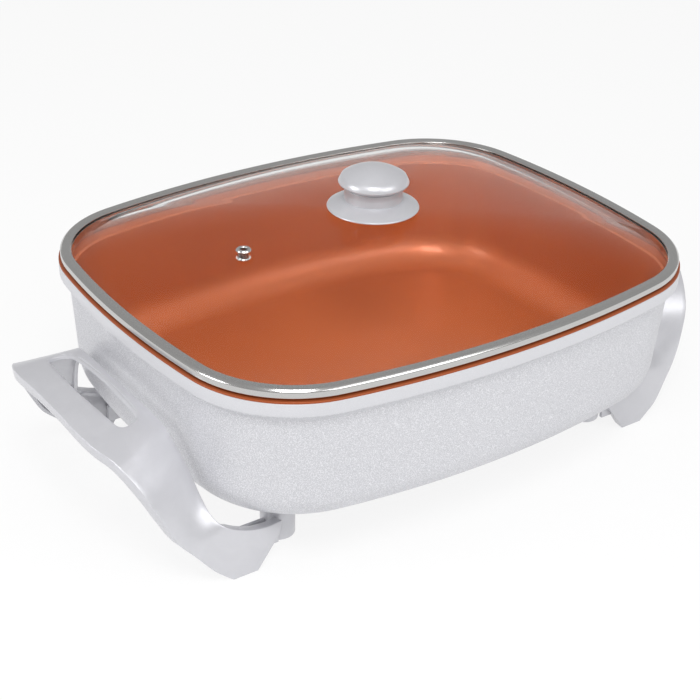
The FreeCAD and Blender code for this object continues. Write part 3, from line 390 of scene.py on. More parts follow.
def make_handled_group():
    """Faint smears and dust that all handled surfaces carry: a mask and a height."""
    group, start, end = new_group(
        "handled_surface",
        [("Vector", "NodeSocketVector", None), ("Size", "NodeSocketFloat", 30.0)],
        [("Smears", "NodeSocketFloat"), ("Height", "NodeSocketFloat")])
    vector, size = start.outputs["Vector"], start.outputs["Size"]
    smears = noise(group, vector, size, 5.0, 0.65, 0.6)
    group.links.new(spread(group, smears, 0.42, 0.68, 0.0, 1.0), end.inputs["Smears"])
    fine = noise(group, vector, calculate(group, "MULTIPLY", size, 26.0), 2.0)
    group.links.new(fine, end.inputs["Height"])
    return group


def make_brushed_group():
    """Lines left by a polishing belt, stretched along one way: a height and a mask."""
    group, start, end = new_group(
        "belt_lines",
        [("Vector", "NodeSocketVector", None), ("Lines", "NodeSocketFloat", 1400.0)],
        [("Height", "NodeSocketFloat"), ("Lines", "NodeSocketFloat")])
    lines = noise(group, start.outputs["Vector"], start.outputs["Lines"], 3.0, 0.6)
    group.links.new(lines, end.inputs["Height"])
    group.links.new(spread(group, lines, 0.35, 0.65, 0.0, 1.0), end.inputs["Lines"])
    return group


COAT = make_pebble_group()
HANDLED = make_handled_group()
BELT = make_brushed_group()


# Materials

def new_material(name, colour, metallic=0.0, roughness=0.5, **more):
    """A Principled material with its plain values set on the shader itself."""
    material = bpy.data.materials.new(name)
    material.use_nodes = True
    tree = material.node_tree
    shader = tree.nodes["Principled BSDF"]
    shader.inputs["Base Color"].default_value = (*colour, 1.0)
    shader.inputs["Metallic"].default_value = metallic
    shader.inputs["Roughness"].default_value = roughness
    for label, value in more.items():
        shader.inputs[label.replace("_", " ")].default_value = value
    return material, tree, shader


def object_vector(tree, stretch=None):
    """Coordinates that are fixed to the piece, stretched where a pattern runs one way."""
    vector = tree.nodes.new("ShaderNodeTexCoord").outputs["Object"]
    if stretch:
        mapping = tree.nodes.new("ShaderNodeMapping")
        mapping.inputs["Scale"].default_value = stretch
        tree.links.new(vector, mapping.inputs["Vector"])
        vector = mapping.outputs["Vector"]
    return vector


def use_group(tree, group, vector, **values):
    """One of the shared surface effects, with its own numbers."""
    node = tree.nodes.new("ShaderNodeGroup")
    node.node_tree = group
    tree.links.new(vector, node.inputs["Vector"])
    for label, value in values.items():
        node.inputs[label.replace("_", " ")].default_value = value
    return node


def bump(tree, shader, height, strength, distance):
    """Fine relief from a height; the distance is in metres."""
    node = tree.nodes.new("ShaderNodeBump")
    node.inputs["Strength"].default_value = strength
    node.inputs["Distance"].default_value = distance
    tree.links.new(height, node.inputs["Height"])
    tree.links.new(node.outputs["Normal"], shader.inputs["Normal"])


def sprayed(name, colour, fleck_colour, metallic, grain, low, high, depth, **more):
    """A sprayed coat with flecks and a fine orange peel."""
    material, tree, shader = new_material(name, colour, metallic, (low + high) / 2, **more)
    coat = use_group(tree, COAT, object_vector(tree), Grain=grain, Low_Roughness=low, High_Roughness=high)
    flecked = blend_colours(tree, coat.outputs["Flecks"], colour, fleck_colour)
    tree.links.new(flecked, shader.inputs["Base Color"])
    tree.links.new(coat.outputs["Roughness"], shader.inputs["Roughness"])
    bump(tree, shader, coat.outputs["Height"], 0.5, depth)
    return material


def moulded(name, colour, worn, metallic=0.0, low=0.3, high=0.45, size=30.0, depth=0.00003, **more):
    """A moulded or plain surface with faint smears."""
    material, tree, shader = new_material(name, colour, metallic, (low + high) / 2, **more)
    handled = use_group(tree, HANDLED, object_vector(tree), Size=size)
    smears = handled.outputs["Smears"]
    tree.links.new(blend_colours(tree, smears, colour, worn), shader.inputs["Base Color"])
    tree.links.new(spread(tree, smears, 0.0, 1.0, low, high), shader.inputs["Roughness"])
    bump(tree, shader, handled.outputs["Height"], 0.35, depth)
    return material


def brushed(name, colour, dark, stretch, low=0.12, high=0.24, lines=1400.0, depth=0.00001):
    """Bright metal with lines from a polishing belt."""
    material, tree, shader = new_material(name, colour, 1.0, (low + high) / 2)
    belt = use_group(tree, BELT, object_vector(tree, stretch), Lines=lines)
    mask = belt.outputs["Lines"]
    tree.links.new(blend_colours(tree, mask, colour, dark), shader.inputs["Base Color"])
    tree.links.new(spread(tree, mask, 0.0, 1.0, low, high), shader.inputs["Roughness"])
    bump(tree, shader, belt.outputs["Height"], 0.25, depth)
    return material


def clear_glass(name, colour, roughness=0.0, bending=1.45):
    """Glass that lets lamps through to what lies under it."""
    material, tree, shader = new_material(name, colour, 0.0, roughness, IOR=bending, Transmission_Weight=1.0)
    path = tree.nodes.new("ShaderNodeLightPath")
    passing = tree.nodes.new("ShaderNodeBsdfTransparent")
    passing.inputs["Color"].default_value = (0.93, 0.95, 0.94, 1.0)
    mixer = tree.nodes.new("ShaderNodeMixShader")
    output = tree.nodes["Material Output"]
    tree.links.new(path.outputs["Is Shadow Ray"], mixer.inputs[0])
    tree.links.new(shader.outputs["BSDF"], mixer.inputs[1])
    tree.links.new(passing.outputs["BSDF"], mixer.inputs[2])
    tree.links.new(mixer.outputs["Shader"], output.inputs["Surface"])
    return material


SILVER_COAT = sprayed("silver_pebbled_coat", (0.57, 0.572, 0.60), (0.80, 0.80, 0.83),
                      0.35, 900.0, 0.40, 0.50, 0.00026)
COLLAR_COAT = sprayed("silver_fine_coat", (0.63, 0.632, 0.66), (0.70, 0.70, 0.73),
                      0.35, 1600.0, 0.36, 0.44, 0.00006)
COPPER_COAT = sprayed("copper_non_stick_coat", (0.33, 0.074, 0.020), (0.39, 0.094, 0.028), 0.30, 1700.0,
                      0.36, 0.46, 0.00004, Coat_Weight=0.1, Coat_Roughness=0.2, Specular_IOR_Level=0.3)
SILVER_PAINT = moulded("silver_painted_moulding", (0.60, 0.60, 0.63), (0.63, 0.63, 0.66),
                       0.35, 0.30, 0.38, 40.0, 0.00002)
STEEL_BAND = brushed("polished_band", (0.62, 0.62, 0.61), (0.50, 0.49, 0.48), (1.0, 1.0, 18.0), 0.14, 0.22)
STEEL_EYELET = brushed("rolled_steel", (0.72, 0.72, 0.72), (0.58, 0.57, 0.56), (1.0, 1.0, 6.0), 0.16, 0.26)
ZINC = moulded("zinc_plate", (0.62, 0.62, 0.64), (0.50, 0.50, 0.51), 1.0, 0.28, 0.42, 120.0)
SHEET_STEEL = brushed("pressed_sheet", (0.60, 0.60, 0.61), (0.48, 0.48, 0.49), (1.0, 14.0, 1.0), 0.25, 0.38)
GROUND_STEEL = brushed("ground_steel", (0.66, 0.66, 0.67), (0.54, 0.54, 0.55), (20.0, 1.0, 1.0), 0.18, 0.30)
TUBE_STEEL = moulded("heat_tinted_tube", (0.16, 0.13, 0.12), (0.26, 0.20, 0.16), 0.9, 0.40, 0.60, 60.0)
NICKEL = moulded("nickel_plate", (0.72, 0.69, 0.64), (0.60, 0.57, 0.52), 1.0, 0.16, 0.28, 200.0)
BRASS = moulded("bare_brass", (0.62, 0.42, 0.16), (0.46, 0.30, 0.12), 1.0, 0.22, 0.36, 150.0)
CERAMIC = moulded("white_ceramic", (0.80, 0.78, 0.72), (0.68, 0.65, 0.58), 0.0, 0.30, 0.42, 90.0)
BLACK_MOULDING = sprayed("black_spark_moulding", (0.018, 0.018, 0.020), (0.030, 0.030, 0.032),
                         0.0, 1300.0, 0.38, 0.48, 0.00010)
DIAL_MOULDING = moulded("black_dial_moulding", (0.020, 0.020, 0.022), (0.034, 0.034, 0.036), 0.0, 0.26, 0.38)
BLACK_RUBBER = moulded("black_rubber", (0.022, 0.022, 0.022), (0.040, 0.039, 0.038), 0.0, 0.55, 0.72, 60.0)
PRINT_WHITE = moulded("pale_print", (0.78, 0.78, 0.76), (0.70, 0.70, 0.68), 0.0, 0.45, 0.60, 300.0)
RED_LENS = moulded("red_lens", (0.52, 0.018, 0.012), (0.42, 0.014, 0.010), 0.0, 0.08, 0.18, 120.0)
LAMP_GLASS = clear_glass("lamp_glass", (0.98, 0.86, 0.74), 0.05)
LID_GLASS = clear_glass("lid_glass", (0.985, 0.995, 0.99), 0.0, 1.10)


# The pan

WALL_TOP = RIM - 17.0
COLLAR_FOOT = RIM - 11.0
COAT_LINE = RIM - 1.5
LEDGE_FOOT = RIM - 20.0
WALL_INSET = 5.0
PAN_WALL = 3.2
PAN_FLOOR = 5.0
LEDGE_INSET = 5.3 + PAN_WALL + 1.2
BASE_ROUND = 29.0
ROUND_STEPS = 14
WALL_STEPS = 9
INSIDE_FROM = 45.0
FLOOR_BELOW = 100.0
SILVER, COPPER, COLLAR = 0, 1, 2
BOSS_X, BOSS_Y = 139.5, 92.0


def wall_rings(start, start_grow, end, end_grow, low, high):
    """Rings that pass evenly from one outline and height to another."""
    rings = []
    for step in range(1, WALL_STEPS):
        share = step / WALL_STEPS
        height = low + (high - low) * share
        first = outline(start, height, start_grow)
        second = outline(end, height, end_grow)
        rings.append([a.lerp(b, share) for a, b in zip(first, second)])
    return rings


def rounding(shape, grow, bottom, radius):
    """Rings of a quarter round between a flat bottom and an upright wall."""
    rings = []
    for step in range(ROUND_STEPS + 1):
        angle = math.pi / 2 * step / ROUND_STEPS
        height = bottom + radius * (1 - math.cos(angle))
        rings.append(outline(shape, height, grow - radius * (1 - math.sin(angle))))
    return rings


def pan_outside_rings():
    """From the underside up the wall, over the collar and the lip, and down to the ledge inside."""
    rings = rounding(BASE, 0.0, UNDERSIDE, BASE_ROUND)
    rings += wall_rings(BASE, 0.0, LID, -WALL_INSET, UNDERSIDE + BASE_ROUND, WALL_TOP)
    section = [(-5.6, WALL_TOP - 6, 0.0), (-WALL_INSET, WALL_TOP, 2.0), (0.6, COLLAR_FOOT - 0.6, 0.6),
               (0.55, COLLAR_FOOT, 0.25), (1.4, COLLAR_FOOT + 0.35, 0.35), (1.4, COAT_LINE - 0.2, 0.2),
               (1.1, COAT_LINE, 0.15), (1.4, COAT_LINE + 0.2, 0.15), (1.35, RIM, 1.1), (-5.0, RIM, 2.2),
               (-8.1, RIM - 11.4, 1.0), (-9.6, RIM - 12.2, 0.9), (-9.9, LEDGE_FOOT, 0.0)]
    for grow, height in soften(section, closed=False)[1:-1]:
        rings.append(outline(LID, height, grow))
    return rings


def pan_inside_rings():
    """From the ledge down the inner wall to the cooking floor."""
    floor = UNDERSIDE + PAN_FLOOR
    radius = BASE_ROUND - PAN_WALL
    rings = [outline(LID, LEDGE_FOOT, -LEDGE_INSET)]
    rings += wall_rings(LID, -LEDGE_INSET, BASE, -PAN_WALL, LEDGE_FOOT, floor + radius)
    return rings + rounding(BASE, -PAN_WALL, floor, radius)[::-1]


def colour_pan(pan):
    """The copper coat covers the inside, the lip and a line below it; the rest is silver."""
    for face in pan.data.polygons:
        centre = face.center
        inwards = centre.x * face.normal.x + centre.y * face.normal.y < 0
        inner_wall = inwards and centre.z > INSIDE_FROM * MM
        inner_floor = face.normal.z > 0.5 and centre.z < FLOOR_BELOW * MM
        if centre.z > COAT_LINE * MM or inner_wall or inner_floor:
            face.material_index = COPPER
        elif centre.z > COLLAR_FOOT * MM:
            face.material_index = COLLAR


def make_boss(x, y):
    """A foot of the casting that a handle's lug is screwed to."""
    section = soften([(2.1, 18.0, 0.0), (8.5, 18.0, 0.8), (8.9, 40.0, 3.0), (12.5, 45.0, 0.0),
                      (2.1, 45.0, 0.0)])
    return turned("mounting_boss", section, (x, y), 48)


def route_points():
    """The middle line of the heating tube, once round from the terminal side, in millimetres."""
    across = 137.0
    deep = 85.0
    near = 14.0
    start = 173.0
    turn = 35.0
    bend = turn / 2
    turn_steps = 10
    corners = [(start, -near, 0), (across, -near, bend), (across, -deep, turn), (-across, -deep, turn),
               (-across, deep, turn), (across, deep, turn), (across, near, bend), (start, near, 0)]
    points = []
    for index, (x, y, radius) in enumerate(corners):
        here = Vector((x, y))
        if radius == 0:
            points.append(here)
            continue
        before = (Vector(corners[index - 1][:2]) - here).normalized()
        after = (Vector(corners[index + 1][:2]) - here).normalized()
        middle = here + (before + after) * radius
        for step in range(turn_steps + 1):
            angle = math.pi / 2 * step / turn_steps
            points.append(middle - after * radius * math.cos(angle) - before * radius * math.sin(angle))
    return points


def along_route(name, points, section):
    """Runs a section, given as (across, height) in millimetres, along a flat route."""
    rings = []
    for index, here in enumerate(points):
        before = points[max(index - 1, 0)]
        after = points[min(index + 1, len(points) - 1)]
        direction = (after - before).normalized()
        side = Vector((direction.y, -direction.x))
        ring = []
        for across, height in section:
            place = here + side * across
            ring.append(Vector((place.x, place.y, height)) * MM)
        rings.append(ring)
    return skin(name, rings, cap_first=True, cap_last=True)


def make_pan():
    """The casting with its bosses, the ridge round the heating tube and the well for the probe."""
    rings = pan_outside_rings() + pan_inside_rings()
    pan = skin("pan_shell", rings, cap_first=True, cap_last=True, angle=28)
    put(pan, "root", (SILVER_COAT, COPPER_COAT, COLLAR_COAT), ["pan"])
    colour_pan(pan)
    bosses = [make_boss(x * BOSS_X, y * BOSS_Y) for x in (-1, 1) for y in (-1, 1)]
    put(join("pan_mounting_bosses", bosses), "root", SILVER_COAT)
    ridge_section = soften([(-6.0, 45.0, 0), (6.0, 45.0, 0), (5.6, 35.4, 1.2), (-5.6, 35.4, 1.2)])
    ridge = along_route("pan_heater_ridge", route_points(), ridge_section)
    put(ridge, "root", SILVER_COAT)
    well = block("pan_probe_well", (106, -7.2, 29.4), (175, 7.2, 45.5), 1.2, 3)
    bore = turned("probe_bore_tool", [(0, 0), (3.3, 0), (3.3, 66), (0, 66)], (111, 0, 36), 40, "X")
    combine(well, bore, "DIFFERENCE")
    put(well, "root", SILVER_COAT)


# The lid

# The dome's rise at shares of its outline, from the edge to the middle, and its height in millimetres.
DOME_ROWS = [(1.0, 0.0), (0.84, 0.36), (0.62, 0.66), (0.38, 0.88), (0.16, 1.0)]
DOME_RISE = 30.0
DOME_SPAN = 0.84
DOME_STEPS = 22
DOME_INSET = 9.0
GLASS_SEAT = BAND_BOTTOM + 1.7
GLASS_WALL = 4.0
VENT_PLACE = (-108, 0)


def dome_rise(share):
    """The dome's rise at a share of its outline, smooth between its rows."""
    rows = DOME_ROWS
    for index in range(len(rows) - 1):
        outer, inner = rows[index], rows[index + 1]
        if outer[0] >= share >= inner[0]:
            break
    ahead = rows[min(index + 2, len(rows) - 1)]
    behind = rows[max(index - 1, 0)]
    slope_out = (inner[1] - behind[1]) / (inner[0] - behind[0])
    slope_in = (ahead[1] - outer[1]) / (ahead[0] - outer[0])
    step = inner[0] - outer[0]
    part = (share - outer[0]) / step
    return ((1 + 2 * part) * (1 - part) ** 2 * outer[1] + part * (1 - part) ** 2 * step * slope_out
            + part ** 2 * (3 - 2 * part) * inner[1] + part ** 2 * (part - 1) * step * slope_in)


def dome_rings(foot, inset):
    """Rings from the dome's edge up to the flat round its middle."""
    rings = []
    for step in range(DOME_STEPS + 1):
        share = 1.0 - DOME_SPAN * step / DOME_STEPS
        rings.append(outline(LID, foot + DOME_RISE * dome_rise(share), -inset * share, share))
    return rings


def make_glass():
    """The dome with its seamed edge and its holes for the knob and the vent."""
    glass_top = GLASS_SEAT + GLASS_WALL
    inside = dome_rings(GLASS_SEAT, DOME_INSET + GLASS_WALL * 0.6)[::-1]
    outside = dome_rings(glass_top, DOME_INSET)
    edge = [outline(LID, GLASS_SEAT, -3.6), outline(LID, GLASS_SEAT + 0.6, -3.0),
            outline(LID, glass_top - 0.6, -3.0), outline(LID, glass_top, -3.6)]
    glass = skin("lid_glass_dome", inside + edge + outside, cap_first=True, cap_last=True, angle=50)
    drill(glass, "knob_hole_tool", 4.0, 170, 190)
    drill(glass, "vent_hole_tool", 4.3, 165, 185, VENT_PLACE)
    smooth_below(50)
    put(glass, "lid", LID_GLASS, ["lid_glass"])


def make_band():
    """A folded strip: rounded shoulder, lip over the glass, groove for it and a skirt inside the pan."""
    top = BAND_HIGH[2] / MM
    foot = BAND_LOW[2] / MM
    glass_top = GLASS_SEAT + GLASS_WALL
    section = [(-1.2, BAND_BOTTOM, 0.6), (0.0, BAND_BOTTOM + 1.5, 1.0), (0.0, top - 1.9, 1.6),
               (-2.0, top, 1.6), (-6.8, top - 0.15, 0.6), (-8.0, glass_top + 0.35, 0.35),
               (-8.0, glass_top + 0.05, 0.1), (-2.95, glass_top + 0.05, 0), (-2.95, GLASS_SEAT - 0.05, 0),
               (-8.0, GLASS_SEAT - 0.05, 0.2), (-8.0, foot, 0.4), (-6.5, foot, 0.4),
               (-6.5, BAND_BOTTOM, 0.3)]
    rings = [outline(LID, height, grow) for grow, height in soften(section, steps=3)]
    band = skin("lid_steel_band", rings, closed=True, angle=40)
    put(band, "lid", STEEL_BAND, ["lid_band"])


def make_vent():
    """An eyelet rolled over the glass from both sides."""
    low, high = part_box("vent_eyelet")
    bottom, top = low[2] / MM, high[2] / MM
    section = soften([(2.6, top - 0.5, 0.5), (3.0, top, 0.5), (4.6, top, 0.7), (5.5, top - 1.2, 0.4),
                      (5.3, top - 1.5, 0.1), (4.1, top - 1.4, 0.1), (4.1, bottom + 0.9, 0.1),
                      (5.2, bottom + 0.8, 0.2), (5.2, bottom, 0.4), (2.6, bottom, 0.3)])
    vent = turned("vent_eyelet_rolled", section, VENT_PLACE, 64)
    put(vent, "lid", STEEL_EYELET, ["vent_eyelet"])


KNOB_BORE = 3.2
KNOB_STEPS = 128
CAP_STEPS = 12


def make_knob_skirt():
    """The knob's lower moulding: a shallow cone on the glass, a seam and a neck."""
    section = soften([(KNOB_BORE, 185.6, 0.0), (16.0, 185.6, 0.0), (16.2, 184.45, 0.2), (32.4, 184.45, 0.4),
                      (33.2, 185.0, 0.4), (32.8, 185.8, 0.5), (22.6, 190.7, 1.2), (21.2, 191.0, 0.2),
                      (20.7, 191.3, 0.2), (21.1, 191.6, 0.2), (20.9, 196.0, 2.0), (21.3, 200.4, 0.3),
                      (KNOB_BORE, 200.4, 0.0)])
    skirt = turned("knob_lower_moulding", section, (0, 0), KNOB_STEPS, angle=30)
    put(skirt, "lid", SILVER_PAINT, ["knob_skirt"])


def make_knob_cap():
    """The knob's upper moulding: a tapered underside, a rounded rim and a ball's top."""
    crown = [(KNOB_BORE, 200.6, 0.0), (21.2, 200.6, 0.3), (22.0, 201.1, 0.5), (25.3, 203.4, 1.6),
             (25.3, 206.0, 1.8)]
    section = soften(crown, closed=False, steps=5)[:-1]
    edge_radius, edge, top = 23.4, 208.3, 215.6
    rise = top - edge
    ball = (edge_radius ** 2 + rise ** 2) / (2 * rise)
    for step in range(CAP_STEPS + 1):
        angle = math.asin(edge_radius / ball) * (1 - step / CAP_STEPS)
        section.append((ball * math.sin(angle), top - ball + ball * math.cos(angle)))
    section.append((0.0, 203.5))
    section.append((KNOB_BORE, 203.5))
    cap = turned("knob_upper_moulding", section, (0, 0), KNOB_STEPS, angle=40)
    put(cap, "lid", SILVER_PAINT, ["knob_cap"])


# The handles

# The left handle's two long edges from the grip's middle to the foot, point for point, in millimetres.
GRIP_OUTER = [(-259.1, 0, 106), (-259, -20, 105.6), (-258.9, -40, 104.4), (-256.5, -60, 101.6),
              (-249, -77, 94.8), (-240, -92.5, 79), (-231.5, -99.5, 60), (-223, -103, 41),
              (-210.5, -107, 26), (-199.5, -110, 13), (-191, -110, 5), (-185, -110, 0)]
GRIP_INNER = [(-211, 0, 110), (-210.4, -20, 109.4), (-209, -40, 107.6), (-206.5, -60, 102.6),
              (-204, -70, 93.5), (-200.5, -80, 79), (-197.3, -90, 61), (-195, -100, 49.5),
              (-189, -108, 42.5), (-175, -110, 36), (-160, -110, 32.6), (-146, -108, 32)]

# The foot's lower edge, and the share of the handle's width at each of its corners.
FOOT_CORNERS = [(-185, -110, 0), (-166, -110, 0), (-149, -110, 23), (-146, -108, 32)]
FOOT_SHARES = [0.0, 4 / 12, 10 / 12, 1.0]
FOOT_BLEND = 4
GRIP_ROWS = 7
GRIP_COLUMNS = 12
GRIP_SPACING = 20
LEVEL_POINTS = 3.0
GRIP_MIDDLE = -0.236
CROWN_RISE = 1.2
CROWN_POINTS = 6
SHELL_WALL = 2.6
SHELL_DEPTH = 8.0
RIM_ROUND = 2.0

# The cutter for the slot, from below: (how much wider, height, whether that is above the grip's face).
SLOT_FLARE = [(0, 60.0, False), (0, -9.0, True), (0, -1.8, True), (0.25, -0.9, True), (0.9, -0.25, True),
              (2.2, 0.02, True), (3.2, 1.8, True), (3.2, 12.0, True)]


def along(points, place):
    """A smooth curve through points; place counts points from 0."""
    index = min(int(place), len(points) - 2)
    part = place - index
    here, after = Vector(points[index]), Vector(points[index + 1])
    if index > 0:
        before = Vector(points[index - 1])
    else:
        before = Vector((points[1][0], -points[1][1], points[1][2]))
    beyond = Vector(points[index + 2]) if index + 2 < len(points) else after * 2 - here
    return (here + 0.5 * part * ((after - before) + part * ((2 * before - 5 * here + 4 * after - beyond)
            + part * (3 * (here - after) + beyond - before))))


def foot_edge(share):
    """A point of the foot's lower edge, at a share of the handle's width."""
    for index in range(len(FOOT_SHARES) - 1):
        low, high = FOOT_SHARES[index], FOOT_SHARES[index + 1]
        if share <= high + 1e-6:
            break
    return Vector(FOOT_CORNERS[index]).lerp(Vector(FOOT_CORNERS[index + 1]), (share - low) / (high - low))


def crown(place, share):
    """How far the grip's face swells above a straight line from edge to edge."""
    return math.sin(math.pi * share) * max(0.0, 1 - place / CROWN_POINTS) * CROWN_RISE


def grip_point(place, share):
    """A point of the handle's outer face: place runs from the grip's middle to the foot."""
    side = -1 if place < 0 else 1
    place = abs(place)
    last = len(GRIP_OUTER) - 1
    point = along(GRIP_OUTER, place).lerp(along(GRIP_INNER, place), share)
    point.z += crown(place, share)
    fade = max(0.0, (place - (last - FOOT_BLEND)) / FOOT_BLEND)
    fade = fade * fade * (3 - 2 * fade)
    straight = Vector(GRIP_OUTER[last]).lerp(Vector(GRIP_INNER[last]), share)
    point += (foot_edge(share) - straight) * fade
    point.y *= side
    return point


def grip_sheet(name, side_inset, foot_inset):
    """The handle's outer face as a grid, pulled in from its edges where asked."""
    last = len(GRIP_OUTER) - 1
    rows = GRIP_ROWS * 2 * last
    deselect()
    bpy.ops.mesh.primitive_grid_add(x_subdivisions=rows, y_subdivisions=GRIP_COLUMNS, size=2)
    sheet = bpy.context.object
    sheet.name = name
    sheet.data.name = name
    for vertex in sheet.data.vertices:
        place = vertex.co.x * (last - foot_inset)
        share = (vertex.co.y + 1) / 2
        width = (grip_point(place, 0.0) - grip_point(place, 1.0)).length
        inset = side_inset / width
        vertex.co = grip_point(place, inset + share * (1 - 2 * inset)) * MM
    face_outwards(sheet)
    return sheet


def face_outwards(sheet):
    """Turns the sheet's faces so that the middle of the grip looks up."""
    settle(sheet)
    middle = min(sheet.data.polygons, key=lambda face: abs(face.center.y) + abs(face.center.x - GRIP_MIDDLE))
    if middle.normal.z < 0:
        bpy.ops.object.mode_set(mode="EDIT")
        bpy.ops.mesh.select_all(action="SELECT")
        bpy.ops.mesh.flip_normals()
        bpy.ops.object.mode_set(mode="OBJECT")


def thicken(sheet, thickness):
    """Gives a sheet its thickness, inwards from its face."""
    modifier = sheet.modifiers.new("wall", "SOLIDIFY")
    modifier.thickness = thickness * MM
    modifier.offset = -1.0
    modifier.use_even_offset = True
    modifier.use_quality_normals = True
    return apply_all(sheet)


def sink(sheet, depth):
    """Moves a sheet inwards along its normals."""
    modifier = sheet.modifiers.new("sink", "DISPLACE")
    modifier.strength = -depth * MM
    modifier.mid_level = 0.0
    return apply_all(sheet)


def grip_top(x, y):
    """Height of the grip's face at a place on its level stretch."""
    place = min(abs(y) / GRIP_SPACING, LEVEL_POINTS)
    outer, inner = along(GRIP_OUTER, place), along(GRIP_INNER, place)
    share = (x - outer.x) / (inner.x - outer.x)
    return outer.z + (inner.z - outer.z) * share + crown(place, share)


def slot_outline(grow):
    """The grip's slot seen from above, as (x, y) in millimetres."""
    corners = [(-218.5 + grow, -50 - grow, 8.5), (-217.5 + grow, 0, 40), (-218.5 + grow, 50 + grow, 8.5),
               (-233.5 - grow, 54 + grow, 9), (-238.5 - grow, 0, 60), (-233.5 - grow, -54 - grow, 9)]
    return soften(corners, steps=8)


def slot_tool():
    """A cutter along the slot that flares towards the grip's face."""
    rings = []
    for grow, height, above_face in SLOT_FLARE:
        ring = []
        for x, y in slot_outline(grow):
            level = grip_top(x, y) + height if above_face else height
            ring.append(Vector((x, y, level)) * MM)
        rings.append(ring)
    return skin("slot_tool", rings, cap_first=True, cap_last=True)


def round_rim(piece, width):
    """Rounds the sharp edges of the handle's outer face."""
    settle(piece)
    bpy.ops.object.mode_set(mode="EDIT")
    bpy.ops.mesh.select_mode(type="EDGE")
    bpy.ops.mesh.select_all(action="DESELECT")
    bpy.ops.mesh.edges_select_sharp(sharpness=math.radians(50))
    bpy.ops.mesh.bevel(offset=width * MM, segments=3, profile=0.5, clamp_overlap=True)
    bpy.ops.mesh.select_mode(type="VERT")
    bpy.ops.object.mode_set(mode="OBJECT")


def make_lug(side):
    """A ring that takes the pan's boss, with its floor and two webs to the leg."""
    section = soften([(8.9, 14.6, 0.0), (8.9, 38.0, 0.4), (12.0, 38.0, 0.8), (12.0, 11.7, 1.0),
                      (4.3, 11.7, 0.4), (4.3, 14.2, 0.0), (2.2, 14.2, 0.0), (2.2, 14.7, 0.0)])
    ring = turned("lug_ring", section, (-BOSS_X, side * BOSS_Y), 56)
    web = block("lug_web", (-165.0, side * 104.0 - 1.4, 13.0), (-147.0, side * 104.0 + 1.4, 29.0), 0.4, 2)
    rib = block("lug_rib", (-172.0, side * 93.5 - 1.3, 14.0), (-150.5, side * 93.5 + 1.3, 27.0), 0.4, 2)
    return [ring, web, rib]


def make_handles():
    """The left handle as a hollow shell with its slot and lugs, and the right one as its mirror image."""
    shell = grip_sheet("left_handle_shell", 0.0, 0.0)
    thicken(shell, SHELL_DEPTH)
    round_rim(shell, RIM_ROUND)
    hollow = grip_sheet("hollow_tool", SHELL_WALL, 0.25)
    sink(hollow, SHELL_WALL)
    thicken(hollow, SHELL_DEPTH + 8)
    combine(shell, hollow, "DIFFERENCE")
    combine(shell, slot_tool(), "DIFFERENCE")
    smooth_below(32)
    left = join("left_handle_moulding", [shell] + make_lug(-1) + make_lug(1))
    put(left, "root", SILVER_PAINT, ["left_handle"])
    right = mirrored_x(left, "right_handle_moulding")
    put(right, "root", SILVER_PAINT, ["right_handle"])


# The heat control's dial

SPINDLE_BORE = 3.03
RIB_COUNT = 30
RIB_RADIUS = 0.9
GRIP_HALF_WIDTH = 3.2
FIGURE_HEIGHT = 3.4
FIGURE_COUNT = 6
FIGURE_TURN = 45
FIGURE_DEPTH = 0.05


def cut_ribs(dial, middle, radius, low, high):
    """Cuts upright grooves all round the dial's edge."""
    ring = radius + 0.35
    section = [(0, low), (RIB_RADIUS, low), (RIB_RADIUS, high), (0, high)]
    ribs = []
    for step in range(RIB_COUNT):
        angle = math.radians(360 / RIB_COUNT * step)
        place = (middle + ring * math.cos(angle), ring * math.sin(angle))
        ribs.append(turned("rib_tool", section, place, 10))
    combine(dial, join("rib_tools", ribs), "DIFFERENCE")


def make_dial():
    """A dial with a ribbed edge and a raised grip that carries a pale pointer."""
    low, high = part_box("heat_dial")
    bottom, top = low[2] / MM, high[2] / MM
    middle = (low[0] + high[0]) / 2 / MM
    radius = (high[0] - low[0]) / 2 / MM
    section = soften([(SPINDLE_BORE, bottom, 0.0), (radius - 0.6, bottom, 0.2), (radius, bottom + 0.6, 0.3),
                      (radius, bottom + 2.3, 0.5), (radius - 4.6, bottom + 3.5, 1.0),
                      (SPINDLE_BORE, bottom + 3.5, 0.0)])
    dial = turned("heat_dial_turned", section, (middle, 0), 96)
    cut_ribs(dial, middle, radius, bottom - 1, top)
    reach = radius - 5.0
    grip = block("dial_grip", (middle - reach, -GRIP_HALF_WIDTH, bottom + 2.6),
                 (middle + reach, GRIP_HALF_WIDTH, top), 1.2, 4)
    combine(dial, grip, "UNION")
    drill(dial, "bore_tool", SPINDLE_BORE, bottom - 1, top - 1.2, (middle, 0))
    smooth_below(32)
    put(dial, "dial", DIAL_MOULDING, ["heat_dial"])
    pointer = block("dial_pointer", (middle + 3.5, -0.45, top - 0.3),
                    (middle + reach - 1.6, 0.45, top + 0.05), 0.1, 1)
    put(pointer, "dial", PRINT_WHITE)
    make_print(middle, radius + 3.3)


def printed(body, place, turn):
    """One pale printed figure, facing up, at a place in millimetres."""
    deselect()
    bpy.ops.object.text_add(location=(0, 0, 0))
    figure = bpy.context.object
    figure.name = "dial_figure"
    figure.data.body = body
    figure.data.size = FIGURE_HEIGHT * MM * 1.35
    figure.data.extrude = FIGURE_DEPTH * MM
    figure.data.align_x = "CENTER"
    figure.data.align_y = "CENTER"
    bpy.ops.object.convert(target="MESH")
    figure = bpy.context.object
    figure.matrix_world = Matrix.Translation(Vector(place) * MM) @ Matrix.Rotation(turn, 4, "Z")
    bpy.ops.object.transform_apply(location=True, rotation=True, scale=True)
    return figure


